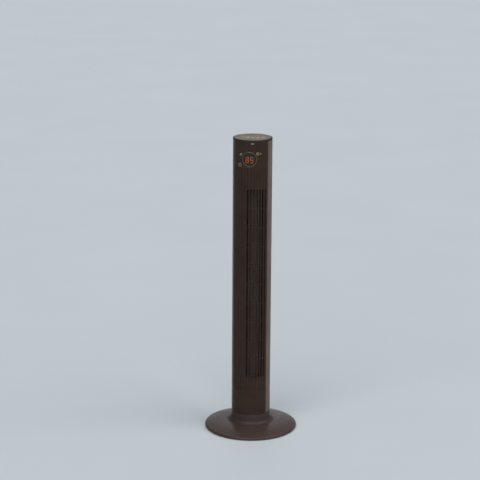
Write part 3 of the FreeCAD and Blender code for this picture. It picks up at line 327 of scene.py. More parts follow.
# ---- materials ------------------------------------------------------------------------------------
class Nodes:
    """A material's node tree, with short ways to add and join nodes."""

    def __init__(self, name):
        self.material = bpy.data.materials.new(name)
        self.material.use_nodes = True
        self.tree = self.material.node_tree
        self.shader = self.tree.nodes["Principled BSDF"]
        self.place = self.add("ShaderNodeTexCoord").outputs["Object"]

    def add(self, kind, **values):
        node = self.tree.nodes.new(kind)
        for key, value in values.items():
            if key in node.inputs.keys():
                node.inputs[key].default_value = value
            else:
                setattr(node, key, value)
        return node

    def join(self, source, target):
        self.tree.links.new(source, target)

    def noise(self, size, detail=3.0, stretch=(1, 1, 1)):
        """Noise whose features are about size across, in metres."""
        mapping = self.add("ShaderNodeMapping")
        mapping.inputs["Scale"].default_value = stretch
        self.join(self.place, mapping.inputs["Vector"])
        texture = self.add("ShaderNodeTexNoise", Scale=1 / size, Detail=detail)
        self.join(mapping.outputs["Vector"], texture.inputs["Vector"])
        return texture.outputs["Fac"]

    def blend(self, factor, first, second):
        mix = self.add("ShaderNodeMix", data_type="RGBA")
        self.join(factor, mix.inputs["Factor"])
        for socket, value in zip([s for s in mix.inputs if s.type == "RGBA"], (first, second)):
            socket.default_value = (*value, 1)
        return next(s for s in mix.outputs if s.type == "RGBA")

    def spread(self, factor, low, high, near=0.3, far=0.7):
        """The factor stretched to run from low to high."""
        node = self.add("ShaderNodeMapRange")
        for key, value in (("From Min", near), ("From Max", far), ("To Min", low), ("To Max", high)):
            node.inputs[key].default_value = value
        self.join(factor, node.inputs["Value"])
        return node.outputs["Result"]

    def bump(self, height, depth, strength=1.0):
        node = self.add("ShaderNodeBump", Strength=strength, Distance=depth)
        self.join(height, node.inputs["Height"])
        self.join(node.outputs["Normal"], self.shader.inputs["Normal"])

    def paint(self, factor, first, second):
        """Colours the surface, from one colour to another."""
        self.join(self.blend(factor, first, second), self.shader.inputs["Base Color"])

    def roughen(self, factor):
        self.join(factor, self.shader.inputs["Roughness"])

    def settle(self, **values):
        for key, value in values.items():
            self.shader.inputs[key.replace("_", " ")].default_value = value
        return self.material


def shade(colour, factor):
    return tuple(min(1.0, c * factor) for c in colour)


def moulded(name, colour, roughness, grain=0.5 * MM, depth=0.03 * MM, mottle=0.12, coat=0.0, shine=0.25):
    """Moulded plastic: a fine spark-eroded grain, faint mottling, and patches polished by handling."""
    n = Nodes(name)
    cloudy = n.spread(n.noise(0.05, 4), 0, 1)
    n.paint(cloudy, shade(colour, 1 - mottle), shade(colour, 1 + mottle))
    patches = n.spread(n.noise(0.03, 5), roughness - 0.05, roughness + 0.06)
    n.roughen(patches)
    n.bump(n.noise(grain, 2), depth, 0.6)
    return n.settle(Coat_Weight=coat, Coat_Roughness=0.12, Specular_IOR_Level=shine)


def edge_highlight(name, colour, roughness):
    """The same plastic on rounded edges: a little smoother, and painted lighter as a painted highlight."""
    n = Nodes(name)
    glint_patches = n.spread(n.noise(0.008, 4), 0, 1)
    # Painted highlight: the edge colour runs from 1.05 to 1.45 times the plastic's colour.
    n.paint(glint_patches, shade(colour, 1.05), shade(colour, 1.45))
    n.roughen(n.spread(glint_patches, roughness - 0.1, roughness))
    n.bump(n.noise(1.2 * MM, 2), 0.01 * MM, 0.4)
    return n.settle(Specular_IOR_Level=0.3)


def metal(name, colour, roughness, stretch=(1, 1, 1), grain=0.4 * MM):
    """Bare metal with a drawn or ground grain and dull patches."""
    n = Nodes(name)
    lines = n.noise(grain, 3, stretch)
    dull = n.spread(n.noise(0.012, 4), roughness - 0.06, roughness + 0.12)
    n.paint(n.spread(lines, 0, 1), shade(colour, 0.82), shade(colour, 1.1))
    n.roughen(dull)
    n.bump(lines, 0.02 * MM, 0.5)
    return n.settle(Metallic=1.0)


def rubbery(name, colour):
    n = Nodes(name)
    bloom = n.spread(n.noise(0.006, 5), 0, 1)
    n.paint(bloom, colour, shade(colour, 1.7))
    n.roughen(n.spread(bloom, 0.7, 0.9))
    n.bump(n.noise(0.8 * MM, 3), 0.05 * MM, 0.5)
    return n.material


def circuit_board(name, colour):
    """Solder mask over copper: straight tracks show through as paler lines."""
    n = Nodes(name)
    tracks = n.add("ShaderNodeTexBrick", Scale=120.0)
    tracks.inputs["Mortar Size"].default_value = 0.03
    n.join(n.place, tracks.inputs["Vector"])
    n.paint(tracks.outputs["Fac"], colour, shade(colour, 2.2))
    n.roughen(n.spread(n.noise(0.004, 3), 0.3, 0.45))
    n.bump(tracks.outputs["Fac"], 0.03 * MM, 0.4)
    return n.settle(Coat_Weight=0.4)


def lit(name, colour, strength):
    """A lamp behind a diffusing film: brighter patches where the light stands behind it."""
    n = Nodes(name)
    glow = n.spread(n.noise(0.004, 2), 0, 1)
    shown = n.blend(glow, shade(colour, 0.8), shade(colour, 1.1))
    n.join(shown, n.shader.inputs["Emission Color"])
    n.roughen(n.spread(n.noise(0.001, 3), 0.3, 0.45))
    return n.settle(Base_Color=(*shade(colour, 0.4), 1), Emission_Strength=strength)


def smoked(name, colour):
    """Smoked, polished plastic with fine wiping marks."""
    n = Nodes(name)
    wipes = n.noise(0.002, 6, (1, 1, 0.15))
    n.paint(n.spread(wipes, 0, 1), colour, shade(colour, 1.4))
    n.roughen(n.spread(wipes, 0.16, 0.3))
    n.bump(n.noise(0.02, 2), 0.02 * MM, 0.3)
    return n.settle(Specular_IOR_Level=0.2, Coat_Weight=0.1, Coat_Roughness=0.1)


PANEL_COLOUR = (0.0325, 0.021, 0.0163)
SHELL_COLOUR = (0.127, 0.093, 0.082)
FOOT_COLOUR = (0.054, 0.036, 0.0325)
CAP_COLOUR = (0.150, 0.122, 0.098)
BUTTON_COLOUR = (0.42, 0.38, 0.34)
BLACK = (0.012, 0.012, 0.0125)

PANEL = moulded("panel_plastic", PANEL_COLOUR, 0.42, shine=0.1)
# The *_EDGES materials go on rounded edges and paint a highlight there.
PANEL_EDGES = edge_highlight("panel_edge", PANEL_COLOUR, 0.4)
SHELL = moulded("shell_plastic", SHELL_COLOUR, 0.4, shine=0.12)
SHELL_EDGES = edge_highlight("shell_edge", SHELL_COLOUR, 0.38)
FOOT = moulded("foot_plastic", FOOT_COLOUR, 0.32, grain=0.9 * MM, depth=0.012 * MM, shine=0.2)
# The neck is the foot's plastic painted a quarter darker: painted shade under the column.
NECK = moulded("neck_plastic", shade(FOOT_COLOUR, 0.75), 0.5, grain=0.9 * MM, depth=0.015 * MM)
CAP = moulded("cap_plastic", CAP_COLOUR, 0.42, grain=0.7 * MM, depth=0.015 * MM, shine=0.12)
CAP_EDGES = edge_highlight("cap_edge", CAP_COLOUR, 0.3)
BUTTON = moulded("button_plastic", BUTTON_COLOUR, 0.4)
BLACK_PLASTIC = moulded("black_plastic", BLACK, 0.55, grain=0.8 * MM)
WHEEL = moulded("wheel_plastic", (0.12, 0.1, 0.09), 0.5)
CASING = moulded("casing_plastic", (0.055, 0.042, 0.036), 0.5)
ACETAL = moulded("acetal", (0.72, 0.7, 0.64), 0.38, mottle=0.04)
RUBBER = rubbery("rubber", (0.012, 0.012, 0.012))
BALLAST = metal("ballast_steel", (0.16, 0.16, 0.17), 0.55)
SCREW_STEEL = metal("screw_steel", (0.5, 0.5, 0.52), 0.3)
SHAFT_STEEL = metal("shaft_steel", (0.55, 0.55, 0.57), 0.2, (1, 1, 0.1))
MOTOR_STEEL = metal("motor_steel", (0.3, 0.31, 0.33), 0.4, (0.1, 0.1, 3))
MOTOR_CAST = metal("motor_aluminium", (0.55, 0.56, 0.58), 0.45)
COPPER = metal("copper", (0.62, 0.26, 0.13), 0.3, (1, 1, 0.1))
BRONZE = metal("bronze", (0.5, 0.33, 0.14), 0.4)
BOARD = circuit_board("circuit_board", (0.01, 0.08, 0.03))
LENS = smoked("smoked_lens", (0.018, 0.0105, 0.008))
RING = moulded("ring_plastic", (0.09, 0.064, 0.053), 0.3, depth=0.01 * MM, coat=0.1)
DIGIT_LIGHT = lit("digit_light", (0.38, 0.1, 0.022), 0.45)
ICON_LIGHT = lit("icon_light", (0.165, 0.155, 0.05), 0.5)
ICON_DARK = moulded("icon_dark", (0.05, 0.043, 0.036), 0.4)
BADGE = metal("badge_metal", (0.3, 0.26, 0.23), 0.45, (0.2, 1, 1))
MARK = moulded("button_mark", (0.03, 0.026, 0.024), 0.5)

CAD_LOOKS = {
    BLACK_PLASTIC: ["base_cover", "turntable", "tact_switches", "ir_receiver", "capacitor"],
    CASING: ["scroll_casing", "vortex_tongue", "lower_duct_plate", "upper_duct_plate"],
    WHEEL: ["crossflow_wheel", "wheel_lower_disc", "wheel_upper_disc"],
    ACETAL: ["swivel_gear", "drive_pinion", "slide_ring"],
    RUBBER: ["bearing_rubber", "motor_grommets"],
    BALLAST: ["ballast_plate"],
    SCREW_STEEL: ["cover_screws", "neck_screws", "turntable_screws", "grille_screws", "motor_screws",
                  "board_screws", "hub_screw", "retaining_ring", "base_nut"],
    SHAFT_STEEL: ["motor_shaft", "pinion_shaft", "pivot_post"],
    MOTOR_STEEL: ["motor_stator", "motor_rotor"],
    MOTOR_CAST: ["motor_lower_bell", "motor_upper_bell", "swing_motor"],
    COPPER: ["motor_windings"],
    BRONZE: ["bearing_bush"],
    BOARD: ["control_board", "display_board", "power_board"],
}


def dress_cad_nodes():
    """Gives the CAD nodes that stay their procedural materials."""
    for material, names in CAD_LOOKS.items():
        for name in names:
            slots = nodes[name].data.materials
            if not slots:
                slots.append(material)
            for index in range(len(slots)):
                slots[index] = material


# ---- foot and neck --------------------------------------------------------------------------------
def foot_profile():
    """The foot's section: a rim, a rounded edge, a shallow dome and a flat middle."""
    rim_top = FOOT_LOW + FOOT_RIM

    def dome(inset):
        """Points up the dome from the edge to the flat, on a shallow arch."""
        start = Vector((FOOT_R - FOOT_EDGE, rim_top + FOOT_EDGE - inset))
        end = Vector((FOOT_FLAT_R, FOOT_TOP - inset))
        shares = steps_between(0, 1, 14)
        return [start.lerp(end, t) + Vector((0, DOME_RISE * math.sin(math.pi * t))) for t in shares]

    def corner(inset):
        centre_r, radius = FOOT_R - FOOT_EDGE, FOOT_EDGE - inset
        angles = [math.radians(90 * i / 7) for i in range(7)]
        return [Vector((centre_r + radius * math.cos(a), rim_top + radius * math.sin(a))) for a in angles]

    outside = [Vector((FOOT_R - 0.5 * MM, FOOT_LOW)), Vector((FOOT_R, FOOT_LOW + 0.5 * MM))]
    outside += corner(0) + dome(0) + [Vector((POST_WAY_R, FOOT_TOP))]
    inside = [Vector((FOOT_R - FOOT_SKIN, FOOT_LOW))] + corner(FOOT_SKIN) + dome(FOOT_SKIN)
    inside += [Vector((POST_WAY_R, FOOT_TOP - FOOT_SKIN))]
    return outside + inside[::-1]


def make_foot():
    piece = lathe("foot_disc", foot_profile(), [FOOT], 224)
    place(piece, "base", "foot_plastic", "base_shell")


def make_neck():
    """The neck: a thin lip on the foot, a hollow cove, and a straight sleeve up to the swivel's seam."""
    lip_r = half_width("neck_collar")
    inner_r, floor_z = COLUMN_R - NECK_WALL, FOOT_TOP + NECK_WALL
    cove = lip_r - COLUMN_R
    centre = Vector((lip_r, FOOT_TOP + NECK_LIP + cove))
    angles = [math.radians(270 - 90 * i / 14) for i in range(15)]
    curve = [tuple(centre + cove * Vector((math.cos(a), math.sin(a)))) for a in angles]
    profile = rounded([
        (lip_r, FOOT_TOP), *curve, (COLUMN_R, NECK_TOP, 0.9 * MM), (inner_r, NECK_TOP, 0.5 * MM),
        (inner_r, floor_z), (POST_WAY_R, floor_z), (POST_WAY_R, FOOT_TOP),
    ])
    piece = lathe("neck_sleeve", profile, [NECK], 192)
    hole_low, hole_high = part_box("cord_grommet")
    middle = (hole_low + hole_high) / 2
    toward_back = Matrix.Translation((0, middle.y, middle.z)) @ Matrix.Rotation(math.radians(-90), 4, "X")
    cut(piece, rod("cord_way", CORD_WAY_R, -8 * MM, 8 * MM, toward_back, 48))
    place(piece, "base", "foot_plastic", "neck_collar")


def make_grommet():
    """The cord's gland: a sleeve with a stepped collar outside and a barb inside."""
    low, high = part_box("cord_grommet")
    length = high.y - low.y
    back = Matrix.Translation((0, low.y, (low.z + high.z) / 2)) @ Matrix.Rotation(math.radians(-90), 4, "X")
    profile = rounded([
        (3.6 * MM, 0, 0.4 * MM), (6.4 * MM, 0, 0.3 * MM), (6.9 * MM, 1.6 * MM, 0.2 * MM),
        (5.95 * MM, 1.7 * MM), (5.95 * MM, length - 3.6 * MM), (8.6 * MM, length - 3.6 * MM, 0.4 * MM),
        (8.3 * MM, length - 2 * MM, 0.5 * MM), (7.2 * MM, length - 1.6 * MM, 0.4 * MM),
        (6.6 * MM, length, 0.7 * MM), (3.6 * MM, length, 0.8 * MM),
    ], 4)
    piece = lathe("cord_gland", profile, [RUBBER], 64, back)
    place(piece, "base", "rubber", "cord_grommet")


def make_rubber_feet():
    low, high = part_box("rubber_feet")
    ring_r = (high.y - low.y) / 2 - PAD_R
    profile = rounded([(0, 0), (PAD_R - 0.2 * MM, 0, 0.9 * MM), (PAD_R, high.z), (0, high.z)])
    mesh = bmesh.new()
    for k in range(PAD_COUNT):
        add_lathe(mesh, profile, 48, Matrix.Translation(on_column(60 + 360 / PAD_COUNT * k, ring_r, 0)))
    place(make_piece("foot_pads", mesh, [RUBBER]), "base", "rubber", "rubber_feet")


# ---- column shell ---------------------------------------------------------------------------------
def reed_turns():
    half = REED_COUNT // 2
    return [REED_PITCH * i for i in range(-half, half + 1)]


def groove_depth(turn):
    """How deep the reeded face is at a turn: nothing on a reed, and full in a groove's floor."""
    reed = min(reed_turns(), key=lambda t: abs(t - turn))
    beyond = (abs(turn - reed) - REED_HALF) / FLANK
    if beyond <= 0 or abs(turn) > reed_turns()[-1]:
        return 0.0
    share = min(1.0, beyond)
    return REED_DEPTH * share * share * (3 - 2 * share)


def panel_turns():
    """The turns at which the front panel's face needs a line of vertices."""
    turns = set(steps_between(-PANEL_EDGE, -reed_turns()[-1] - REED_HALF, 2))
    turns |= set(steps_between(reed_turns()[-1] + REED_HALF, PANEL_EDGE, 2))
    for turn in reed_turns():
        turns |= {turn - REED_HALF, turn, turn + REED_HALF}
    flank = [FLANK * s for s in (0.15, 0.35, 0.5, 0.65, 0.85, 1.0)]
    for left, right in zip(reed_turns(), reed_turns()[1:]):
        turns |= {left + REED_HALF + s for s in flank} | {right - REED_HALF - s for s in flank}
        turns.add((left + right) / 2)
    merged = []
    for turn in sorted(turns):
        if not merged or turn - merged[-1] > 1e-4:
            merged.append(turn)
    return merged


def in_outlet(turn, z):
    return OUTLET_LEFT < turn < OUTLET_RIGHT and OUTLET_LOW < z < OUTLET_HIGH


def make_front_panel():
    """The reeded front face, open at the outlet and at the display."""
    def outer(turn, z):
        share = max(0.0, min(1.0, (z - REED_LOW) / REED_RAMP, (REED_HIGH - z) / REED_RAMP))
        return COLUMN_R - groove_depth(turn) * share

    heights = [COLUMN_LOW, *steps_between(REED_LOW, REED_LOW + REED_RAMP, 3), OUTLET_LOW, OUTLET_HIGH]
    heights += [*steps_between(REED_HIGH - REED_RAMP, REED_HIGH, 3), CAP_LOW - 30 * MM, CAP_LOW]
    mesh = bmesh.new()
    add_sheet(mesh, panel_turns(), heights, outer, lambda turn, z: PANEL_INNER_R, in_outlet)
    piece = make_piece("front_panel_skin", mesh, [PANEL, PANEL_EDGES])
    ring_low, ring_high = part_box("display_ring")
    window_r = (ring_high.z - ring_low.z) / 2 - 1.2 * MM
    forward = Matrix.Translation((0, -50 * MM, (ring_low.z + ring_high.z) / 2))
    forward = forward @ Matrix.Rotation(math.radians(90), 4, "X")
    cut(piece, rod("window_way", window_r, 0, 30 * MM, forward, 96))
    round_edges(piece, 0.45 * MM, 2, 50)
    place(piece, "column", "panel_plastic", "front_panel")


def make_outlet_grille():
    """The grille behind the outlet: a frame with cross bars."""
    mesh = bmesh.new()
    outer = PANEL_INNER_R - 0.05 * MM
    left, right = OUTLET_LEFT - 2.6, OUTLET_RIGHT + 2.6
    turns = [left, *steps_between(OUTLET_LEFT + 0.3, OUTLET_RIGHT - 0.3, 30), right]
    heights = [OUTLET_LOW - GRILLE_RIM, OUTLET_LOW + 1.5 * MM]
    heights += [OUTLET_HIGH - 1.5 * MM, OUTLET_HIGH + GRILLE_RIM]

    def in_frame(turn, z):
        return turns[1] < turn < turns[-2] and heights[1] < z < heights[2]

    add_sheet(mesh, turns, heights, lambda t, z: outer, lambda t, z: GRILLE_INNER_R, in_frame)
    for cell in range(1, OUTLET_CELLS):
        z = OUTLET_LOW + (OUTLET_HIGH - OUTLET_LOW) * cell / OUTLET_CELLS
        levels = [z - GRILLE_BAR / 2, z + GRILLE_BAR / 2]
        span = steps_between(OUTLET_LEFT + 0.25, OUTLET_RIGHT - 0.25, 30)
        add_sheet(mesh, span, levels, lambda t, z: COLUMN_R - 0.9 * MM, lambda t, z: GRILLE_INNER_R)
    piece = make_piece("outlet_bars", mesh, [PANEL, PANEL_EDGES])
    round_edges(piece, 0.5 * MM, 2)
    place(piece, "column", "panel_plastic", "outlet_grille")


def make_outlet_fins():
    """Thin upright fins in line with the reeds."""
    mesh = bmesh.new()
    section = rounded([
        (-FIN_NOSE, COLUMN_R, 0.9 * MM), (FIN_NOSE, COLUMN_R, 0.9 * MM),
        (FIN_TAIL, FIN_INNER_R, 0.5 * MM), (-FIN_TAIL, FIN_INNER_R, 0.5 * MM),
    ], 4)
    for turn in reed_turns():
        if OUTLET_LEFT < turn < OUTLET_RIGHT:
            def to_frame(u, v, w, turn=turn):
                return on_column(turn + math.degrees(math.atan2(u, v)), math.hypot(u, v), w)
            add_plate(mesh, section, OUTLET_LOW + 0.2 * MM, OUTLET_HIGH - 0.2 * MM, to_frame)
    fins = make_piece("outlet_fins", mesh, [PANEL])
    round_edges(fins, 0.3 * MM, 2, 60)
    place(fins, "column", "panel_plastic")


def make_rear_shell():
    """The smooth back of the column, open at the air inlet and at the carrying recess."""
    def in_inlet(turn, z):
        return abs(turn - 180) < INLET_HALF and INLET_LOW < z < INLET_HIGH

    turns = steps_between(SHELL_EDGE, 180 - INLET_HALF, 24)
    turns += steps_between(180 - INLET_HALF, 180 + INLET_HALF, 36)[1:]
    turns += steps_between(180 + INLET_HALF, 360 - SHELL_EDGE, 24)[1:]
    heights = [COLUMN_LOW, INLET_LOW, INLET_HIGH, CAP_LOW]
    mesh = bmesh.new()
    add_sheet(mesh, turns, heights, lambda t, z: COLUMN_R, lambda t, z: COLUMN_R - WALL, in_inlet)
    piece = make_piece("rear_shell_skin", mesh, [SHELL, SHELL_EDGES])
    cut(piece, handle_plug())
    round_edges(piece, 0.5 * MM, 2, 50)
    place(piece, "column", "shell_plastic", "rear_shell")


def handle_outline(inset):
    """The handle's rounded mouth in (x, z), smaller by inset all round."""
    low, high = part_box("handle_cup")
    half, middle = (high.x - low.x) / 2 - inset, (low.z + high.z) / 2
    rise = (high.z - low.z) / 2 - inset
    corner = 8.8 * MM - inset
    points = [(-half, -rise, corner), (half, -rise, corner), (half, rise, corner), (-half, rise, corner)]
    return [(p.x, middle + p.y) for p in rounded(points, 8)]


def handle_plug():
    mesh = bmesh.new()
    add_plate(mesh, handle_outline(0), 40 * MM, 90 * MM, lambda u, v, w: Vector((u, w, v)))
    return make_piece("handle_way", mesh, [])


# The recess's section in millimetres: how far in from its mouth, and then the depth below the column's
# face for its lip, or the height above its back for its floor.
HANDLE_LIP = [(0.05, 1.5), (0.05, 0.35), (0.5, 0), (1.2, 0), (1.9, 0.4), (2.3, 1.2), (2.5, 3)]
HANDLE_FLOOR = [(3.2, 4), (3.6, 3.1), (4.4, 2.5), (5.6, 2.2), (8, 2.2)]


def make_handle_cup():
    """The carrying recess: a rolled lip on the column's face, drafted walls and a flat floor."""
    floor_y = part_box("handle_cup")[0].y
    mesh = bmesh.new()
    loops = []
    for inset, depth in HANDLE_LIP:
        mouth = handle_outline(inset * MM)
        points = [(x, math.sqrt(COLUMN_R ** 2 - x * x) - depth * MM, z) for x, z in mouth]
        loops.append([mesh.verts.new(point) for point in points])
    for inset, height in HANDLE_FLOOR:
        loops.append([mesh.verts.new((x, floor_y + height * MM, z)) for x, z in handle_outline(inset * MM)])
    back = [mesh.verts.new((x, floor_y, z)) for x, z in handle_outline(0.05 * MM)]
    count = len(back)
    for ring, following in zip([back] + loops, loops):
        for i in range(count):
            j = (i + 1) % count
            mesh.faces.new([ring[i], ring[j], following[j], following[i]])
    mesh.faces.new(loops[-1])
    mesh.faces.new(list(reversed(back)))
    piece = make_piece("handle_recess", mesh, [BLACK_PLASTIC])
    round_edges(piece, 0.2 * MM, 1, 70)
    place(piece, "column", "shell_plastic", "handle_cup")


def make_rear_grille():
    """The air inlet: a grid of upright slots in a curved skin, with four sunk screws."""
    half = INLET_HALF - 0.3
    low, high = INLET_LOW + 0.3 * MM, INLET_HIGH - 0.3 * MM
    border_turn, border_z = INLET_BORDER
    bar_turn, bar_z = INLET_BAR
    turn_pitch = (2 * (half - border_turn) + bar_turn) / INLET_COLUMNS
    z_pitch = (high - low - 2 * border_z + bar_z) / INLET_ROWS
    slots = [180 - half + border_turn + i * turn_pitch for i in range(INLET_COLUMNS)]
    levels = [low + border_z + j * z_pitch for j in range(INLET_ROWS)]
    turns = sorted({180 - half, 180 + half, 180 - half + 3, 180 + half - 3}
                   | set(slots) | {t + turn_pitch - bar_turn for t in slots}
                   | {t + (turn_pitch - bar_turn) / 2 for t in slots})
    heights = sorted({low, high} | set(levels) | {z + z_pitch - bar_z for z in levels})

    def in_slot(turn, z):
        across = any(t < turn < t + turn_pitch - bar_turn for t in slots)
        return across and any(level < z < level + z_pitch - bar_z for level in levels)

    mesh = bmesh.new()
    add_sheet(mesh, turns, heights, lambda t, z: COLUMN_R - 0.6 * MM, lambda t, z: COLUMN_R - WALL, in_slot)
    piece = make_piece("inlet_grille", mesh, [SHELL, SHELL_EDGES])
    for turn in (180 - INLET_HALF + 3.2, 180 + INLET_HALF - 3.2):
        for z in (INLET_LOW + 4.2 * MM, INLET_HIGH - 4.2 * MM):
            aim = Matrix.Translation((0, 0, z)) @ Matrix.Rotation(math.radians(turn), 4, "Z")
            aim = aim @ Matrix.Rotation(math.radians(90), 4, "X")
            cut(piece, rod("screw_sink", INLET_SCREW_R, INLET_SCREW_SEAT_R, 70 * MM, aim, 32))
    round_edges(piece, 0.4 * MM, 2, 50)
    place(piece, "column", "shell_plastic", "rear_grille")


# ---- control head ---------------------------------------------------------------------------------
BUTTONS = ("timer_button", "speed_button", "power_button", "swing_button", "mode_button")


def button_centre(name):
    low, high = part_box(name)
    return (low + high) / 2


def make_top_cap():
    """The cap: a dark rim with a rolled edge, round a paler plate with a shallow dish for the buttons."""
    plate_r, rim_r = CAP_GROOVE_R
    groove_z, inner_r = CAP_TOP - CAP_GROOVE, rim_r - 0.5 * MM
    rim = rounded([
        (inner_r, CAP_LOW), (COLUMN_R, CAP_LOW, 0.3 * MM), (COLUMN_R, CAP_TOP, CAP_EDGE_R),
        (rim_r, CAP_TOP, 0.3 * MM), (rim_r, groove_z), (inner_r, groove_z),
    ], 7)
    place(lathe("cap_rim", rim, [PANEL], 192), "column", "panel_plastic")
    floor_z = CAP_TOP - DISH_DEPTH
    plate = rounded([
        (0, CAP_LOW), (plate_r, CAP_LOW, 0.3 * MM), (plate_r, CAP_TOP, 0.5 * MM),
        (DISH_R, CAP_TOP, 1.5 * MM), (DISH_R - 4 * MM, floor_z, 4 * MM), (0, floor_z),
    ], 7)
    mesh = bmesh.new()
    add_lathe(mesh, plate, 192)
    bmesh.ops.dissolve_limit(mesh, angle_limit=math.radians(0.5), verts=mesh.verts, edges=mesh.edges)
    piece = make_piece("cap_dish", mesh, [CAP, CAP_EDGES])
    for name in BUTTONS:
        centre = button_centre(name)
        at = Matrix.Translation((centre.x, centre.y, 0))
        cut(piece, rod("button_way", BUTTON_R + 0.3 * MM, CAP_LOW - 5 * MM, CAP_TOP + 5 * MM, at, 48))
    for face in piece.data.polygons:
        face.use_smooth = abs(face.normal.z) < 0.9999
    round_edges(piece, 0.3 * MM, 2, 50)
    place(piece, "column", "cap_plastic", "top_cap")


def make_button(name):
    """A round button with a rolled edge and a finger dish, on its flange and stem."""
    low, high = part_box(name)
    centre = (low + high) / 2
    flange_r = (high.x - low.x) / 2
    flange_low, flange_high = CAP_LOW - 2 * MM, CAP_LOW - 0.3 * MM
    profile = rounded([
        (0, low.z), (BUTTON_STEM_R, low.z, 0.3 * MM), (BUTTON_STEM_R, flange_low),
        (flange_r, flange_low, 0.3 * MM), (flange_r, flange_high, 0.3 * MM), (BUTTON_R, flange_high),
        (BUTTON_R, high.z, 0.9 * MM), (BUTTON_R - 1.4 * MM, high.z, 0.6 * MM),
        (BUTTON_R - 2.6 * MM, high.z - 0.3 * MM, 2 * MM), (0, high.z - 0.4 * MM),
    ], 5)
    piece = lathe(name + "_key", profile, [BUTTON], 64, Matrix.Translation((centre.x, centre.y, 0)))
    place(piece, name, "button_plastic", name)
    return centre, high.z - 0.4 * MM


def button_marks():
    """The symbol on each button, as outlines in millimetres."""
    hand = [(-0.25, -0.2), (0.25, -0.2), (0.25, 1.9), (-0.25, 1.9)]
    side_hand = [(-0.2, -0.25), (1.4, -0.25), (1.4, 0.25), (-0.2, 0.25)]
    bar = [(-0.3, 0.6), (0.3, 0.6), (0.3, 3.0), (-0.3, 3.0)]
    wave = arc_band(1.0, 0.5, 20, 160)
    gusts = [[(u, v + lift) for u, v in wave] for lift in (-2.0, -0.7, 0.6)]
    arrow_left = [(-3.0, 0.0), (-1.6, 1.0), (-1.6, -1.0)]
    arrow_right = [(3.0, 0.0), (1.6, -1.0), (1.6, 1.0)]
    shaft = [(-1.6, -0.25), (1.6, -0.25), (1.6, 0.25), (-1.6, 0.25)]
    moon = arc_band(2.0, 0.9, 60, 300, 20)
    return {
        "timer_button": [arc_band(2.5, 0.5, 0, 350, 28), hand, side_hand],
        "speed_button": gusts,
        "power_button": [arc_band(2.3, 0.55, 125, 415, 26), bar],
        "swing_button": [arrow_left, arrow_right, shaft],
        "mode_button": [moon],
    }


def make_buttons():
    for name, outlines in button_marks().items():
        centre, floor = make_button(name)
        mesh = bmesh.new()
        for outline in outlines:
            scaled = [(u * MM, v * MM) for u, v in outline]
            add_plate(mesh, scaled, floor - 0.1 * MM, floor + 0.22 * MM,
                      lambda u, v, w: Vector((centre.x + u, centre.y + v, w)))
        place(make_piece(name + "_mark", mesh, [MARK]), name, "black_plastic")


def add_ring(mesh, section, to_frame, steps=96):
    """Adds a ring whose section is in (distance from its middle, height above the face)."""
    rings = []
    for k in range(steps):
        a = 2 * math.pi * k / steps
        rings.append([mesh.verts.new(to_frame(r * math.cos(a), r * math.sin(a), w)) for r, w in section])
    for ring, following in zip(rings, rings[1:] + rings[:1]):
        for i in range(len(section)):
            j = (i + 1) % len(section)
            mesh.faces.new([ring[i], ring[j], following[j], following[i]])


def make_display():
    low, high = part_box("display_ring")
    radius, z = (high.z - low.z) / 2, (low.z + high.z) / 2
    face = wrap(0, z)
    inner, sleeve = radius - RING_WIDTH, radius - 1.3 * MM
    section = rounded([
        (inner, -3 * MM), (sleeve, -3 * MM), (sleeve, 0.05 * MM), (radius, 0.05 * MM, 0.1 * MM),
        (radius - 0.2 * MM, RING_RISE, 0.35 * MM), (inner + 0.1 * MM, RING_RISE, 0.35 * MM),
    ], 4)
    mesh = bmesh.new()
    add_ring(mesh, section, face)
    place(make_piece("display_bezel", mesh, [RING]), "column", "ring_plastic", "display_ring")

    mesh = bmesh.new()
    lens_r = inner - 0.1 * MM
    layers = [(lens_r, -2.6 * MM), (lens_r, -0.75 * MM), (lens_r - 0.3 * MM, -0.5 * MM)]
    layers += [(lens_r * s, -0.5 * MM) for s in (0.85, 0.65, 0.45, 0.25, 0.08)]
    layers += [(lens_r * s, -2.6 * MM) for s in (0.08, 0.25, 0.45, 0.65, 0.85)]
    add_ring(mesh, layers, face, 72)
    bmesh.ops.holes_fill(mesh, edges=[e for e in mesh.edges if e.is_boundary], sides=80)
    place(make_piece("display_window", mesh, [LENS]), "column", "smoked_lens", "display_lens")


SEGMENTS = {
    "top": (0, 1, True), "middle": (0, 0, True), "bottom": (0, -1, True), "upper_left": (-1, 0.5, False),
    "upper_right": (1, 0.5, False), "lower_left": (-1, -0.5, False), "lower_right": (1, -0.5, False),
}
UNLIT = {8: (), 5: ("upper_right", "lower_left")}


def segment(name, height):
    """One bar of a seven-segment digit, centred on the digit."""
    across, up, level = SEGMENTS[name]
    reach_u, reach_v = DIGIT_W - DIGIT_BAR, height - DIGIT_BAR
    half = (reach_u if level else reach_v / 2) / 2 * BAR_SHRINK
    tip = DIGIT_BAR / 2 * BAR_SHRINK
    upper = [(-half, 0), (-half + tip, tip), (half - tip, tip)]
    shape = upper + [(-u, -v) for u, v in upper]
    if not level:
        shape = [(v, u) for u, v in shape]
    points = [(u + across * reach_u / 2, v + up * reach_v / 2) for u, v in shape]
    return [(u + v * DIGIT_LEAN, v) for u, v in points]


def make_digits():
    low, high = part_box("display_digits")
    face = wrap(0, (low.z + high.z) / 2)
    offset = (DIGIT_W + DIGIT_GAP) / 2
    lit_mesh, dark_mesh = bmesh.new(), bmesh.new()
    for value, centre in ((8, -offset), (5, offset)):
        for name in SEGMENTS:
            dark = name in UNLIT[value]
            outline = [(centre + u, v) for u, v in segment(name, high.z - low.z)]
            mesh = dark_mesh if dark else lit_mesh
            add_plate(mesh, outline, -0.49 * MM, (-0.42 if dark else -0.2) * MM, face)
    digits = make_piece("lit_digits", lit_mesh, [DIGIT_LIGHT])
    place(digits, "column", "digit_light", "display_digits")
    place(make_piece("unlit_bars", dark_mesh, [ICON_DARK]), "column", "smoked_lens")


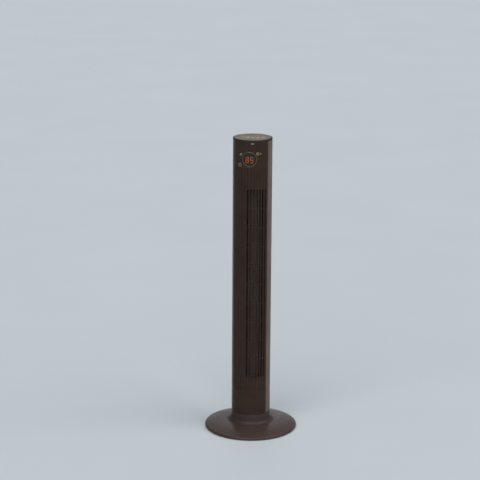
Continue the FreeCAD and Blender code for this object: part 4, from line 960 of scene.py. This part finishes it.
def make_icons():
    """Lamps round the display: a leaf, a crescent with its star dot, and a clock ring."""
    low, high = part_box("indicator_icons")
    top, bottom = high.z - 5.4 * MM, low.z + 6 * MM
    film_low, film_high = LAMP_FILM
    mesh = bmesh.new()

    def add(outline, turn, z):
        add_plate(mesh, [(u * MM, v * MM) for u, v in outline], film_low, film_high, wrap(turn, z))

    leaf = rounded([(-5.2, -4.6, 0.8), (-5.0, 2.2, 3.0), (5.2, 5.2, 0.6), (1.9, -3.8, 3.0)], 6)
    add(leaf, LEAF_TURN, top - 3 * MM)
    add(crescent(5.2, 3.0), MOON_TURN, top)
    add(circle(3.2), STAR_TURN, top)
    inner, outer = 3.7 * MM, 6.0 * MM
    section = [(inner, film_low), (outer, film_low), (outer, film_high), (inner, film_high)]
    add_ring(mesh, section, wrap(CLOCK_TURN, bottom), 48)
    place(make_piece("lit_icons", mesh, [ICON_LIGHT]), "column", "icon_light", "indicator_icons")


def make_badge():
    low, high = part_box("badge")
    rise = (high.z - low.z) / 2
    middle = (low + high) / 2
    turn = math.degrees(math.atan2(middle.x, -middle.y))
    outline = rounded([
        (-BADGE_HEAD, rise, 0.3 * MM), (-BADGE_FOOT, -rise, 0.8 * MM),
        (BADGE_FOOT, -rise, 0.8 * MM), (BADGE_HEAD, rise, 0.3 * MM),
    ], 4)
    mesh = bmesh.new()
    add_plate(mesh, outline, 0.02 * MM, 0.4 * MM, wrap(turn, middle.z))
    piece = round_edges(make_piece("badge_plate", mesh, [BADGE]), 0.12 * MM, 2, 60)
    place(piece, "column", "badge_metal", "badge")


# ---- floor, light and camera ----------------------------------------------------------------------
def make_floor():
    mesh = bmesh.new()
    bmesh.ops.create_grid(mesh, x_segments=8, y_segments=8, size=40)
    floor = make_piece("floor", mesh, [])
    n = Nodes("floor")
    patches = n.spread(n.noise(0.6, 3), 0, 1)
    n.paint(patches, (0.57, 0.638, 0.69), (0.585, 0.653, 0.705))
    floor.data.materials.append(n.settle(Roughness=0.8))


def soft_sun(name, azimuth, elevation, strength, spread, colour):
    """A wide, even light from a direction: azimuth from the front, positive towards +X."""
    a, e = math.radians(azimuth), math.radians(elevation)
    direction = Vector((math.sin(a) * math.cos(e), -math.cos(a) * math.cos(e), math.sin(e)))
    lamp = bpy.data.lights.new(name, "SUN")
    lamp.energy = strength
    lamp.angle = math.radians(spread)
    lamp.color = colour
    light = bpy.data.objects.new(name, lamp)
    light.location = direction * 4
    light.rotation_euler = (-direction).to_track_quat("-Z", "Y").to_euler()
    bpy.context.scene.collection.objects.link(light)


SKY = ((0.2, 0.05), (0.36, 0.65), (0.45, 0.8), (0.54, 0.3), (0.75, 0.22))


def make_light():
    """A studio that is bright on the right and darker on the left."""
    world = bpy.data.worlds.new("studio")
    world.use_nodes = True
    tree = world.node_tree
    background = tree.nodes["Background"]
    background.inputs["Strength"].default_value = 1.0
    place_node = tree.nodes.new("ShaderNodeTexCoord")
    split = tree.nodes.new("ShaderNodeSeparateXYZ")
    ramp = tree.nodes.new("ShaderNodeValToRGB")
    stops = ramp.color_ramp.elements
    stops.remove(stops[0])
    stops[0].position, stops[0].color = SKY[0][0], (*[SKY[0][1]] * 3, 1)
    for position, grey in SKY[1:]:
        stops.new(position).color = (grey, grey * 1.01, grey * 1.03, 1)
    shift = tree.nodes.new("ShaderNodeMapRange")
    shift.inputs["From Min"].default_value = -1
    tree.links.new(place_node.outputs["Generated"], split.inputs["Vector"])
    tree.links.new(split.outputs["X"], shift.inputs["Value"])
    tree.links.new(shift.outputs["Result"], ramp.inputs["Fac"])
    tree.links.new(ramp.outputs["Color"], background.inputs["Color"])
    bpy.context.scene.world = world
    soft_sun("key", 75, 40, 1.25, 50, (1.0, 0.97, 0.93))
    soft_sun("front", -5, 40, 1.6, 60, (1.0, 0.97, 0.95))


CAMERA_AZIMUTH = 9.5
CAMERA_BACK = 5.312
CAMERA_SIDE = -0.026
CAMERA_HEIGHT = 1.985
CAMERA_PITCH = 14.09
CAMERA_YAW = 0.15
CAMERA_ROLL = 0.35
CAMERA_LENS = 123.5


def make_camera():
    """Stands to the right of the front and a little above, looking down."""
    data = bpy.data.cameras.new("camera")
    data.lens = CAMERA_LENS
    data.sensor_width = 36
    data.clip_end = 200
    camera = bpy.data.objects.new("camera", data)
    swing = Matrix.Rotation(math.radians(CAMERA_AZIMUTH), 4, "Z")
    camera.location = swing @ Vector((CAMERA_SIDE, -CAMERA_BACK, CAMERA_HEIGHT))
    aim = swing @ Matrix.Rotation(math.radians(CAMERA_YAW), 4, "Z")
    aim = aim @ Matrix.Rotation(math.radians(90 - CAMERA_PITCH), 4, "X")
    aim = aim @ Matrix.Rotation(math.radians(CAMERA_ROLL), 4, "Z")
    camera.rotation_euler = aim.to_euler()
    bpy.context.scene.collection.objects.link(camera)
    bpy.context.scene.camera = camera


bpy.context.scene.view_settings.view_transform = "Standard"
dress_cad_nodes()
make_foot()
make_neck()
make_grommet()
make_rubber_feet()
make_front_panel()
make_outlet_grille()
make_outlet_fins()
make_rear_shell()
make_handle_cup()
make_rear_grille()
make_top_cap()
make_buttons()
make_display()
make_digits()
make_icons()
make_badge()
make_floor()
make_light()
make_camera()
